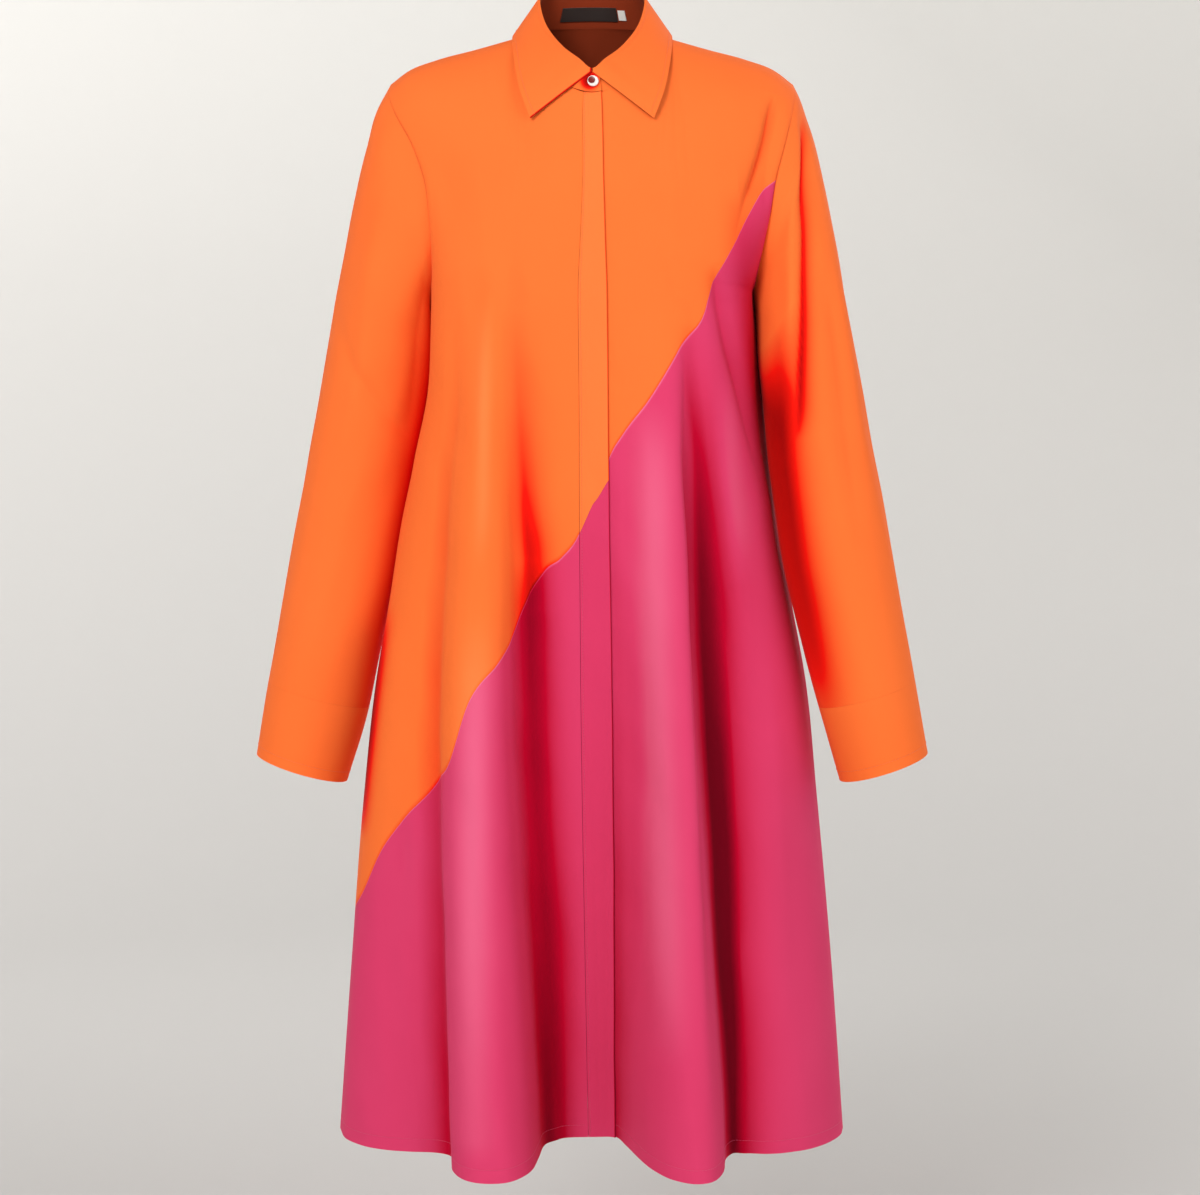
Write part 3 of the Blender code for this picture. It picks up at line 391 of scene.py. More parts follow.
# On a sleeve the points are (degrees round, mm down, depth). 0 is the outer line, the front is
# positive and the inner line is 180.
RIGHT_SLEEVE_CREASES = [
    Crease(12, 16, 1.5, ((150, 10, 0), (140, 90, 3), (138, 200, 4), (142, 330, 2), (146, 430, 0))),
    Crease(14, 12, 1.8, ((60, 40, 0), (66, 140, -2), (74, 280, -3), (80, 400, 0))),
    Crease(10, 14, 1.5, ((-70, 30, 0), (-76, 150, 3), (-82, 290, 4), (-78, 420, 0))),
    Crease(14, 14, 1.8, ((-140, 60, 0), (-136, 200, 4), (-130, 360, 3), (-128, 480, 0))),
    Crease(10, 12, 1.6, ((20, 260, 0), (60, 300, 2), (110, 330, 3), (160, 345, 0))),
    Crease(10, 10, 1.6, ((-20, 300, 0), (-70, 330, 2), (-120, 350, 0))),
]
LEFT_SLEEVE_CREASES = [
    # the sharp fold that falls from the head of the sleeve, and the light ridge outside it
    Crease(6, 18, 1.3, ((38, 10, 0), (46, 55, 4), (63, 96, 6), (73, 145, 7), (85, 192, 8), (97, 250, 8),
                        (106, 290, 7), (113, 340, 3), (118, 380, 0))),
    Crease(14, 9, 1.8, ((66, 60, 0), (86, 110, -3), (98, 180, -4), (110, 250, -4), (118, 300, 0))),
    Crease(34, 24, 1.8, ((130, 240, 0), (138, 300, 5), (145, 370, 8), (147, 450, 8), (149, 520, 5),
                         (153, 560, 0))),
    Crease(12, 12, 1.8, ((24, 90, 0), (30, 200, -2), (36, 330, -3), (40, 460, 0))),
    Crease(12, 14, 1.7, ((48, 200, 0), (56, 300, 3), (62, 400, 3), (66, 500, 0))),
    Crease(12, 12, 1.6, ((-66, 30, 0), (-74, 150, 4), (-84, 300, 5), (-86, 440, 0))),
    Crease(14, 14, 1.8, ((-136, 60, 0), (-132, 220, 4), (-128, 380, 4), (-126, 500, 0))),
    Crease(10, 12, 1.6, ((-10, 280, 0), (-60, 312, 3), (-110, 340, 3), (-150, 350, 0))),
]

# Painted shade and painted highlight, in the same form as the creases: -1 is a pale painted highlight on a
# crest, 1 the painted shade of a fold and 2 its darkest painted pit.
FRONT_SHADES = [
    Crease(6, 18, 2.0, ((-68, -240, 0), (-64, -314, 0.2), (-62, -353, 0.35), (-60, -393, 0.5),
                        (-58, -434, 0.7), (-55, -475, 0.9), (-53, -520, 0))),
    Crease(14, 20, 2.0, ((-56, -475, 0), (-54, -520, 1), (-53, -561, 1), (-49, -650, 1), (-44, -738, 1),
                         (-39, -827, 1.2), (-37, -915, 1.25), (-37, -1020, 1.1))),
    Crease(5, 30, 2.0, ((82, -265, 0), (85, -314, 0.3), (94, -385, 0.8), (97, -473, 1.3),
                        (99.5, -561, 1.45), (105, -650, 1.4), (111, -738, 1.4), (114, -827, 1.3),
                        (123, -915, 1.2), (127, -1020, 1.0))),
    Crease(14, 14, 2.0, ((150, -235, 0.4), (151, -314, 0.7), (164, -385, 0.8), (178, -473, 0.9),
                         (189, -561, 0.4), (195, -610, 0))),
    Crease(13, 26, 2.0, ((132, -165, 0.2), (136, -205, 0.5), (143, -272, 0.5), (152, -330, 0.4),
                         (164, -400, 0.2), (170, -440, 0))),
    Crease(8, 8, 2.0, ((-188, -520, 0), (-196, -560, 1.6), (-203, -610, 2), (-209, -660, 2),
                       (-214, -710, 1.5), (-217, -740, 0))),
    Crease(6, 6, 2.0, ((-93, -240, 0), (-95, -320, -0.4), (-96, -420, -0.4), (-100, -480, 0))),
    Crease(15, 15, 2.0, ((-100, -520, 0), (-104, -600, -0.5), (-106, -800, -0.5), (-104, -985, -0.2))),
    Crease(15, 15, 2.0, ((52, -330, 0), (55, -420, -0.5), (57, -600, -0.5), (66, -800, -0.4),
                         (74, -930, 0))),
    Crease(12, 12, 2.0, ((118, -305, 0), (122, -380, -0.5), (129, -440, -0.5), (136, -500, 0))),
]
BACK_SHADES = [
    Crease(18, 16, 2.0, ((-64, -270, 0), (-66, -420, 0.5), (-64, -560, 0.9), (-56, -740, 1), (-48, -900, 1),
                         (-44, -1020, 0.8))),
    Crease(16, 18, 2.0, ((54, -300, 0), (58, -440, 0.5), (66, -600, 0.8), (76, -800, 0.9),
                         (86, -1020, 0.8))),
    Crease(10, 14, 2.0, ((176, -560, 0), (182, -700, 0.5), (190, -860, 0.7), (196, -1020, 0.6))),
    Crease(16, 16, 2.0, ((-112, -420, 0), (-110, -600, -0.4), (-104, -860, -0.4), (-104, -1000, -0.2))),
    Crease(18, 18, 2.0, ((8, -480, 0), (14, -650, -0.4), (22, -860, -0.4), (28, -1000, -0.2))),
]
RIGHT_SLEEVE_SHADES = [
    Crease(32, 32, 2.0, ((180, 50, 0), (180, 100, 0.5), (180, 200, 0.9), (180, 290, 1.2), (180, 365, 1.4),
                         (180, 465, 1.4), (180, 500, 1.2), (180, 541, 0.8), (180, 560, 0.5))),
]
LEFT_SLEEVE_SHADES = [
    Crease(3, 13, 1.6, ((38, 30, 0), (46, 55, 0.9), (63, 96, 1), (73, 145, 1), (85, 192, 1.1),
                        (97, 250, 1.1), (106, 290, 1.1), (112, 330, 0.8), (116, 360, 0))),
    Crease(62, 26, 2.0, ((126, 200, 0), (135, 255, 1), (141, 310, 1.8), (145, 370, 1.8), (147, 450, 1.7),
                         (149, 520, 1.4), (153, 556, 0.6))),
    Crease(14, 14, 2.0, ((180, 60, 0), (180, 140, 0.4), (180, 200, 0.9), (180, 280, 0.6), (180, 320, 0))),
]

# Painted shade and highlight at single places: painted shade above the diagonal seam and a painted
# highlight below it, a painted highlight on the orange band and painted shade on the pink one, a painted
# shadow along the band's free edge and on the leaf's front edge at the wearer's right, and a painted shadow
# on the stand round a spot that lies a little above the button and to the wearer's right of it.
ABOVE_SEAM_SHADE = 0.6
BELOW_SEAM_SHADE = -1.0
BAND_SHADES = {"orange": -0.22, "pink": 0.12}
BAND_EDGE_SHADE = 1.2
LEAF_EDGE_SHADE = 1.6
BUTTON_SHADE = 1.9
BUTTON_SHADE_REACH = 8 * MM
BUTTON_SHADE_ASIDE = -3 * MM
BUTTON_SHADE_UP = 2 * MM

# A piece's cut laid flat, in metres and square metres. A sleeve or cuff is measured all round.
# The cloth of back_upper, with its slanting cut, measures 0.180. A sheet can state no less than 0.3 of
# width times length, which its slanting cut doesn't fill, so 0.206 is stated.
Cut = namedtuple("Cut", "width length area")


def column(rows, name):
    """One column of a table, in the table's own units."""
    return np.array([getattr(row, name) for row in rows], float)


def through(at, knots, values):
    """A smooth curve through the values at the knots: cubic, with slopes taken from the neighbours."""
    at = np.asarray(at, float)
    knots = np.asarray(knots, float)
    values = np.asarray(values, float)
    slopes = np.gradient(values, knots, axis=0)
    i = np.clip(np.searchsorted(knots, at, side="right") - 1, 0, len(knots) - 2)
    step = knots[i + 1] - knots[i]
    t = (at - knots[i]) / step
    if values.ndim > 1:
        t = t[..., None]
        step = step[..., None]
    return (
        (2 * t**3 - 3 * t**2 + 1) * values[i]
        + (t**3 - 2 * t**2 + t) * step * slopes[i]
        + (3 * t**2 - 2 * t**3) * values[i + 1]
        + (t**3 - t**2) * step * slopes[i + 1]
    )


def ease(t):
    """0 to 1 with no slope at either end."""
    t = np.clip(t, 0, 1)
    return t * t * (3 - 2 * t)


def unit(vectors):
    return vectors / np.linalg.norm(vectors, axis=-1, keepdims=True)


def point(x, y, z):
    return np.stack(np.broadcast_arrays(x, y, z), axis=-1)


# --- The surfaces of the body ---


def round_shares(turn, power):
    """How far a turn lies to the side and to the front of a rounded section, as shares of its size."""
    cosine = np.cos(np.radians(turn))
    across = np.abs(cosine) ** (2 / LOWER_POWER)
    along = np.clip(1 - across**power, 0, 1) ** (1 / power)
    return np.sign(cosine) * across, along


def section(turn, z, back):
    """The plain section of the body at a height, without its folds."""
    table_z = column(SECTIONS, "z")[::-1] * MM

    def size(name):
        return through(z, table_z, column(SECTIONS, name)[::-1] * MM)

    down = ease((UNDERARM_Z - z) / (UNDERARM_Z - LOWER_POWER_Z))
    across, along = round_shares(turn, UNDERARM_POWER + (LOWER_POWER - UNDERARM_POWER) * down)
    half_width = np.where(turn < 90, size("right"), size("left"))
    depth = size("back") if back else -size("front")
    return point(-half_width * across, depth * along, z)


def hem(turn, back):
    rows = BACK_HEM if back else FRONT_HEM
    places = np.array([(row.x, row.y, row.z) for row in rows]) * MM
    return through(turn, column(rows, "turn"), places)


def below_underarm(turn, level, back):
    """Levels 1 to 2: the plain section, with the folds growing towards the hem."""
    down = np.clip(level - 1, 0, 1)
    bottom = hem(turn, back)
    hem_z = SECTIONS[-1].z * MM
    z = UNDERARM_Z + down * (hem_z - UNDERARM_Z)
    folds = bottom - section(turn, np.full_like(z, hem_z), back)
    return section(turn, z, back) + folds * (down**FOLD_GROWTH)[..., None]


def ring(station, line):
    """The collar's neck or roll line. Stations run 0 to 14, once round from the centre front by the
    wearer's right, and any other station counts on from there."""
    half = [getattr(row, line) for row in COLLAR]
    right = [(-x, y, z) for x, y, z in half]
    loop = right + half[-2:0:-1]
    wrapped = [loop[-1], *loop, loop[0], loop[1]]
    turns = len(loop)
    return through(np.mod(station, turns), range(-1, turns + 2), np.array(wrapped) * MM)


def collar_station(turn, back):
    """The collar's station over a turn of the front or the back."""
    if back:
        return SHOULDER_STATION + (turn - NECK_TURN) / (90 - NECK_TURN) * (BACK_STATION - SHOULDER_STATION)
    return SHOULDER_STATION * (90 - turn) / (90 - NECK_TURN)


def signed_station(stations):
    """Stations counted from the centre front, below 0 on the wearer's left."""
    return np.mod(np.asarray(stations, float) + BACK_STATION, STATIONS) - BACK_STATION


def top(turn, back):
    """Level 0: the shoulder seams, with the neck between them."""
    share = np.minimum(turn, 180 - turn) / NECK_TURN
    places = through(
        np.clip(share, 0, 1),
        column(SHOULDER, "share"),
        np.array([(row.x, 0, row.z) for row in SHOULDER]) * MM,
    )
    places = places * point(np.where(turn < 90, -1.0, 1.0), 1.0, 1.0)
    neck = ring(collar_station(turn, back), "neck")
    return np.where((share >= 1)[..., None], neck, places)


def armhole(level, back, side):
    """The armhole of one side, -1 for the wearer's right."""
    levels = column(ARMHOLE, "level")
    x = through(level, levels, column(ARMHOLE, "right" if side < 0 else "left"))
    y = through(level, levels, column(ARMHOLE, "back" if back else "front"))
    z = through(level, levels, column(ARMHOLE, "z"))
    return point(side * x, y if back else -y, z) * MM


def above_underarm(turn, level, back):
    """Levels 0 to 1: from the top line to the section at the underarm, drawn to both armholes."""
    start = top(turn, back)
    end = below_underarm(turn, np.ones_like(level), back)
    powers = column(ROUNDING, "back" if back else "front")
    round_over = through(np.minimum(turn, 180 - turn), column(ROUNDING, "turn"), powers)
    fall = np.clip(1 - (1 - level) ** 2, 0, 1) ** round_over
    surface = start + (end - start) * point(level, fall, level)
    across, along = round_shares(turn, UNDERARM_POWER)
    for side, from_side in ((-1, turn / 180), (1, 1 - turn / 180)):
        corner = np.full_like(turn, 0.0 if side < 0 else 180.0)
        first = top(corner, back)
        last = below_underarm(corner, np.ones_like(level), back)
        side_fall = np.clip(1 - (1 - level) ** 2, 0, 1) ** powers[0]
        ruled = first + (last - first) * point(level, side_fall, level)
        here = np.where(from_side < 0.5, 1.0, 0.0)
        reach = point(here * np.abs(across), here * (1 - along), 1 - ease(from_side / ARMHOLE_REACH))
        surface = surface + (armhole(level, back, side) - ruled) * reach
    return surface


def sharp_body(turn, level, back):
    upper = above_underarm(turn, np.clip(level, 0, 1), back)
    lower = below_underarm(turn, np.clip(level, 1, 2), back)
    return np.where((level < 1)[..., None], upper, lower)


def rounded_body(turn, level, back):
    """The body's surface, with the bend that runs down from the corner of the neck softened."""
    from_corner = np.abs(np.minimum(turn, 180 - turn) - NECK_TURN)
    down = ease(level / 0.4) * (1 - ease((level - 0.9) / 0.3))
    step = SOFT_CORNER_STEP * down * ease(1.5 - 1.5 * from_corner / SOFT_CORNER)
    surface = sharp_body(turn, level, back)
    soft = step > 0
    if soft.any():
        total = 0.0
        for i, weight in enumerate(SOFT_WEIGHTS):
            total = total + weight * sharp_body(turn[soft] + (i - 2) * step[soft], level[soft], back)
        surface[soft] = total / sum(SOFT_WEIGHTS)
    return surface


def body(turn, level, back):
    """The body's surface, with the bend at the underarm's level softened away from the side seams."""
    turn, level = np.broadcast_arrays(np.asarray(turn, float), np.asarray(level, float))
    near = np.clip(1 - np.abs(level - 1) / SOFT_REACH, 0, 1)
    step = SOFT_STEP * ease(near * 1.5) * ease(np.minimum(turn, 180 - turn) / SOFT_TURNS)
    surface = rounded_body(turn, level, back)
    soft = step > 0
    if soft.any():
        total = 0.0
        for i, weight in enumerate(SOFT_WEIGHTS):
            total = total + weight * rounded_body(turn[soft], level[soft] + (i - 2) * step[soft], back)
        surface[soft] = total / sum(SOFT_WEIGHTS)
    return surface


def body_normal(turn, level, back):
    """Outward normals of the body's surface."""
    turn, level = np.broadcast_arrays(np.asarray(turn, float), np.asarray(level, float))
    turn_step, level_step = 0.4, 0.006
    sideways = body(np.minimum(turn + turn_step, 180), level, back) - body(
        np.maximum(turn - turn_step, 0), level, back
    )
    down = body(turn, np.minimum(level + level_step, 2), back) - body(
        turn, np.maximum(level - level_step, 0), back
    )
    return unit(np.cross(sideways, down)) * (1 if back else -1)


# --- Creases ---


def crease_sum(u, v, creases, wrap=None):
    """The depths of all the creases of a table at each (u, v), in the table's own units."""
    total = np.zeros(u.shape)
    for crease in creases:
        known = np.array(crease.points, float)
        share = np.linspace(0, len(known) - 1, 6 * len(known))
        path = through(share, range(len(known)), known)
        reach = 3 * max(crease.left, crease.right)
        if wrap:
            middle = path[:, 0].mean()
            here_u = middle + (np.mod(u - middle + wrap / 2, wrap) - wrap / 2)
        else:
            here_u = u
        near = (here_u > path[:, 0].min() - reach) & (here_u < path[:, 0].max() + reach)
        near &= (v > path[:, 1].min() - reach) & (v < path[:, 1].max() + reach)
        if not near.any():
            continue
        places = np.stack([here_u[near], v[near]], axis=-1)
        best = np.full(len(places), np.inf)
        push = np.zeros(len(places))
        for first, last in zip(path[:-1], path[1:]):
            run = last[:2] - first[:2]
            length = np.linalg.norm(run)
            share_here = np.clip((places - first[:2]) @ run / length**2, 0, 1)
            apart = places - (first[:2] + share_here[:, None] * run)
            distance = np.linalg.norm(apart, axis=-1)
            side = apart[:, 0] * -run[1] + apart[:, 1] * run[0]
            width = np.where(side < 0, crease.left, crease.right)
            depth = first[2] + (last[2] - first[2]) * share_here
            closer = distance < best
            push = np.where(closer, depth * np.exp(-((distance / width) ** crease.power)), push)
            best = np.where(closer, distance, best)
        total[near] += push
    return total


HOLLOW_DEPTH = 9.0  # mm below the neighbours' mean at which the painted shade in the folds is full

Swell = namedtuple("Swell", "across down phase height")
SWELLS = [
    Swell(83, 410, 0.4, 0.5),
    Swell(47, 290, 1.9, 0.35),
    Swell(131, 170, 3.1, 0.45),
    Swell(29, 510, 4.4, 0.2),
    Swell(61, 97, 5.2, 0.2),
]


def unevenness(u, v, turn_by=0.0):
    """Low, long swells in the cloth, in metres, so that nothing lies perfectly even."""
    total = np.zeros(u.shape)
    for swell in SWELLS:
        phase = 2 * np.pi * (u / swell.across + v / swell.down) + swell.phase + turn_by
        total += swell.height * MM * np.sin(phase) * np.cos(phase * 0.37 + v / 230)
    return total


def body_push(turn, level, places, back):
    """How far the body's cloth stands back at each place. It is nothing along sewn edges."""
    u, v = places[..., 0] / MM, places[..., 2] / MM
    settings = bpy.context.scene.shirt_dress_cloth
    push = crease_sum(u, v, BACK_CREASES if back else FRONT_CREASES) * settings.crease_depth * MM
    # the swells are a quarter as high at the shoulders
    push = push + unevenness(u, v, 2.0 if back else 0.0) * (0.25 + 0.75 * ease(level / 1.1))
    turn = np.broadcast_to(turn, level.shape)
    side_fade = ease(np.minimum(turn, 180 - turn) / SIDE_FADE)
    top_fade = ease(level / TOP_FADE)
    return push * side_fade * top_fade


# --- Cloth shells ---


def hollows(middle, normal, columns=9, closed=False):
    """How much each point of a grid lies in a hollow between its neighbours to both sides, 0 to 1, which is
    painted as shade.
    """
    mode = "wrap" if closed else "edge"
    wide = np.pad(middle, ((0, 0), (columns, columns), (0, 0)), mode=mode)
    count = middle.shape[1]
    mean = sum(wide[:, shift : shift + count] for shift in range(2 * columns + 1)) / (2 * columns + 1)
    depth = np.sum((mean - middle) * normal, axis=-1)
    return np.clip(depth / (HOLLOW_DEPTH * MM), 0, 1)


def shell_mesh(name, middle, normal, thickness, closed=False, shade=None):
    """A closed thin shell over a grid of points on its middle surface, outer face first."""
    rows, columns = middle.shape[:2]
    outer = (middle + normal * thickness / 2).reshape(-1, 3)
    inner = (middle - normal * thickness / 2).reshape(-1, 3)
    index = np.arange(rows * columns).reshape(rows, columns)
    if closed:
        index = np.concatenate([index, index[:, :1]], axis=1)
    a, b = index[:-1, :-1], index[1:, :-1]
    c, d = index[1:, 1:], index[:-1, 1:]
    face = np.stack([a, b, c, d], axis=-1).reshape(-1, 4)
    first = middle.reshape(-1, 3)[face[len(face) // 2]]
    its_normal = normal.reshape(-1, 3)[face[len(face) // 2][0]]
    turned = np.cross(first[1] - first[0], first[3] - first[0]) @ its_normal
    if turned < 0:
        face = face[:, ::-1]
    other = face[:, ::-1] + rows * columns
    edges = [index[0], index[-1][::-1]]
    if not closed:
        edges += [index[:, 0][::-1], index[:, -1]]
    rims = []
    for edge in edges:
        near, far = edge[:-1], edge[1:]
        rims.append(np.stack([near, far, far + rows * columns, near + rows * columns], axis=-1))
    rim = np.concatenate(rims)
    if turned < 0:
        rim = rim[:, ::-1]
    faces = np.concatenate([face, other, rim])
    mesh = bpy.data.meshes.new(name)
    mesh.vertices.add(2 * rows * columns)
    mesh.vertices.foreach_set("co", np.concatenate([outer, inner]).ravel())
    mesh.loops.add(4 * len(faces))
    mesh.loops.foreach_set("vertex_index", faces.ravel())
    mesh.polygons.add(len(faces))
    mesh.polygons.foreach_set("loop_start", np.arange(0, 4 * len(faces), 4))
    mesh.polygons.foreach_set("use_smooth", np.ones(len(faces), bool))
    mesh.update(calc_edges=True)
    # The fold attribute carries painted shade and painted highlight; the inside attribute marks the inner
    # face, which takes a darker painted shade.
    if shade is not None:
        values = np.concatenate([shade.ravel(), shade.ravel()])
        mesh.attributes.new("fold", "FLOAT", "POINT").data.foreach_set("value", values)
        inner_face_shade = np.repeat([0.0, 1.0], rows * columns)
        mesh.attributes.new("inside", "FLOAT", "POINT").data.foreach_set("value", inner_face_shade)
    mesh.validate()
    mesh.set_sharp_from_angle(angle=math.radians(SHARP_ANGLE))
    return mesh


def dress_piece(name, mesh, finish, nodes=()):
    """Links a finished piece to the scene under the body's empty and hides the frame's parts that it stands
    for.
    """
    piece = bpy.data.objects.new(name, mesh)
    mesh.materials.append(finish)
    bpy.context.scene.collection.objects.link(piece)
    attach(piece, BODY)
    if nodes:
        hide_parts(*nodes)
    return piece


def sew_crepe(node, middle, facing, shade, colour="orange", closed=False):
    """Makes the crepe that stands for a node, from the grid of its middle surface."""
    thickness = bpy.context.scene.shirt_dress_cloth.thickness
    mesh = shell_mesh(f"{node}_cloth", middle, facing, thickness, closed, shade)
    piece = dress_piece(mesh.name, mesh, finish(f"{colour} crepe"), [node])


def grid_normals(middle, closed, outward_from):
    """Normals of a grid of points, turned away from the given centre of each row."""
    if closed:
        ringed = np.concatenate([middle[:, -1:], middle, middle[:, :1]], axis=1)
        sideways = ringed[:, 2:] - ringed[:, :-2]
    else:
        sideways = np.gradient(middle, axis=1)
    down = np.gradient(middle, axis=0)
    normals = unit(np.cross(sideways, down))
    facing = np.sum(normals * (middle - outward_from), axis=-1, keepdims=True)
    return normals * np.where(facing < 0, -1, 1)


# --- Seams ---


def edge_frame(line, away, normal, closed=False):
    """The wall's direction along an edge line: square to the line and to the way across the seam."""
    if closed:
        ringed = np.concatenate([line[-1:], line, line[:1]])
        along = ringed[2:] - ringed[:-2]
    else:
        along = np.gradient(line, axis=0)
    across = unit(np.cross(along, away))
    facing = np.sum(across * normal, axis=-1, keepdims=True)
    return across * np.where(facing < 0, -1, 1)


def armhole_levels(count):
    """Levels down an armhole whose heights lie as evenly as points round half a circle."""
    dense = np.linspace(0, 1, 400)
    heights = armhole(dense, False, -1)[:, 2]
    angle = np.linspace(0, np.pi, count)
    wanted = heights[0] + (heights[-1] - heights[0]) * (1 - np.cos(angle)) / 2
    levels = np.interp(-wanted, -heights, dense)
    levels[0], levels[-1] = 0.0, 1.0
    return levels


ARMHOLE_COUNT = 61


def armhole_loop(side):
    """The armhole's points once round: down the front from the shoulder, then up the back."""
    levels = armhole_levels(ARMHOLE_COUNT)
    front = armhole(levels, False, side)
    rear = armhole(levels, True, side)
    loop = np.concatenate([front, rear[-2:0:-1]])
    share = np.concatenate([levels, levels[-2:0:-1]])
    centre = loop.mean(axis=0)
    outward = unit((loop - centre) * np.array([0.0, 1.0, 1.0]))
    tilt = np.radians(ARMHOLE_TILT) * (1 - share)
    away = point(side * np.cos(tilt), np.zeros_like(tilt), -np.sin(tilt))
    radial = edge_frame(loop, away, outward, closed=True)
    fold = np.radians(90) * ease((share - UNDERARM_FOLD_START) / UNDERARM_FOLD_RUN)[:, None]
    body_edge = radial * np.cos(fold) + away * np.sin(fold)
    sleeve_edge = radial * np.cos(fold) - away * np.sin(fold)
    back_off = SEAM_GAP / 2 + WALL / 2 * np.sin(fold)
    return loop, away, body_edge, sleeve_edge, back_off


def armhole_edge(levels, back, side):
    """The body's edge along an armhole at any level."""
    loop, away, body_edge, _, back_off = armhole_loop(side)
    edge = loop - away * back_off
    order = list(range(ARMHOLE_COUNT))
    if back:
        order = [0, *range(len(loop) - 1, ARMHOLE_COUNT - 1, -1), ARMHOLE_COUNT - 1]
    known = armhole_levels(ARMHOLE_COUNT)

    def along(values):
        return np.stack([np.interp(levels, known, values[order, axis]) for axis in range(3)], axis=-1)

    return along(edge), along(body_edge)


def neck_seam(stations):
    """The way across the neck seam, from the body up into the stand, and the edges' direction."""
    stations = np.asarray(stations, float)
    neck = ring(stations, "neck")
    along = unit(ring(stations + STATION_STEP, "neck") - ring(stations - STATION_STEP, "neck"))

    def square(vectors):
        return unit(vectors - along * np.sum(vectors * along, axis=-1, keepdims=True))

    rise = square(ring(stations, "roll") - neck)
    wrapped = signed_station(stations)
    slope = np.zeros_like(neck)
    for back in (False, True):
        if back:
            here = np.abs(wrapped) >= SHOULDER_STATION - 1e-9
            past = np.mod(stations, STATIONS) - SHOULDER_STATION
            turns = NECK_TURN + past * (90 - NECK_TURN) / (BACK_STATION - SHOULDER_STATION)
        else:
            here = np.abs(wrapped) <= SHOULDER_STATION + 1e-9
            turns = 90 - wrapped * (90 - NECK_TURN) / SHOULDER_STATION
        turns = np.clip(turns, NECK_TURN, 180 - NECK_TURN)
        up = body(turns, 0.0, back) - body(turns, 0.03, back)
        slope += np.where(here[:, None], square(up), 0)
    away = unit(rise + unit(slope))
    outward = (neck - ring([0.0, BACK_STATION], "neck").mean(axis=0)) * np.array([1.0, 1.0, 0.0])
    facing = unit(np.cross(along, away))
    return away, facing * np.where(np.sum(facing * outward, axis=-1, keepdims=True) < 0, -1, 1)


def seam_levels(turns, back):
    rows = BACK_SEAM if back else FRONT_SEAM
    return through(turns, column(rows, "turn"), column(rows, "level"))


def crowded(count, ends=0.35):
    """Shares from 0 to 1 that lie closer together towards both ends."""
    even = np.linspace(0, 1, count)
    return even * (1 - ends) + ease(even) * ends


class Panel:
    """A grid on the body's surface, with the edges that are sewn to something else."""

    def __init__(self, turns, levels, back, band=False):
        self.turns = np.asarray(turns, float)
        self.levels = levels
        self.back = back
        self.middle = body(self.turns[None, :], levels, back)
        self.normal = body_normal(self.turns[None, :], levels, back)
        self.push = body_push(self.turns[None, :], levels, self.middle, back)
        if not back and not band:
            knots, lifts = column(UNDER_BAND_SHAPE, "turn"), column(UNDER_BAND_SHAPE, "lift")
            under = np.interp(self.turns, knots, lifts)
            self.push = self.push - np.where(self.turns > BAND_TURNS[0] - 1e-9, under, 0) * MM
        self.middle = self.middle - self.normal * self.push[..., None]
        self.shift = np.zeros_like(self.middle)
        self.facing = np.zeros_like(self.middle)

    def sew_shoulders(self):
        """The top row outside the neck: the front's edge meets the back's."""
        away = np.array([0.0, -1.0 if self.back else 1.0, 0.0])
        line = self.middle[0]
        facing = edge_frame(line, away, np.array([0.0, 0.0, 1.0]))
        on_shoulder = np.minimum(self.turns, 180 - self.turns) <= NECK_TURN
        inner = on_shoulder & (self.turns > 0) & (self.turns < 180)
        self.shift[0, on_shoulder] -= away * SEAM_GAP / 2
        self.facing[0, inner] += facing[inner]

    def sew_neck(self):
        at_neck = np.minimum(self.turns, 180 - self.turns) >= NECK_TURN
        away, facing = neck_seam(collar_station(self.turns[at_neck], self.back))
        self.shift[0, at_neck] -= away * SEAM_GAP / 2
        self.facing[0, at_neck] = facing

    def sew_armhole(self, side):
        column_at = 0 if side < 0 else -1
        levels = self.levels[:, column_at]
        rows = levels <= 1 + 1e-9
        edge, facing = armhole_edge(levels[rows], self.back, side)
        self.shift[rows, column_at] += edge - self.middle[rows, column_at]
        self.facing[rows, column_at] = facing

    def sew_side(self, side):
        column_at = 0 if side < 0 else -1
        levels = self.levels[:, column_at]
        rows = levels >= 1 - 1e-9
        away = np.array([0.0, -1.0 if self.back else 1.0, 0.0])
        self.shift[rows, column_at] -= away * SEAM_GAP / 2
        below = levels > 1 + 1e-9
        line = self.middle[:, column_at]
        outward = np.array([float(side), 0.0, 0.0])
        self.facing[below, column_at] = edge_frame(line, away, outward)[below]

    def sew_across(self, row):
        inwards = unit(self.middle[1] - self.middle[0] if row == 0 else self.middle[-2] - self.middle[-1])
        along = unit(np.gradient(self.middle[row], axis=0))
        slant = np.sum(along * inwards, axis=-1, keepdims=True)
        self.shift[row] += inwards * SEAM_GAP / 2 / np.sqrt(1 - slant**2)

    def cloth(self, lift=0.0):
        """The panel's middle surface and the way its wall faces."""
        turned = np.linalg.norm(self.facing, axis=-1, keepdims=True)
        facing = np.where(turned > 0, self.facing / np.maximum(turned, 1e-9), self.normal)
        return self.middle + self.shift + facing * lift, facing


def even_turns(start, end, step):
    return np.linspace(start, end, max(2, round((end - start) / step) + 1))


def side_turns(first, last, corner, step):
    """Turns from one edge of a panel to the other, with one exactly at the corner of the neck."""
    before = even_turns(first, corner, step)
    after = even_turns(corner, last, step)
    return np.concatenate([before, after[1:]])


def upper_levels(turns, back, rows, drop=0.0):
    return crowded(rows)[:, None] * (seam_levels(turns, back) + drop)[None, :]


def lower_levels(turns, back, rows, drop=0.0):
    start = (seam_levels(turns, back) + drop)[None, :]
    return start + crowded(rows)[:, None] * (2 - start)


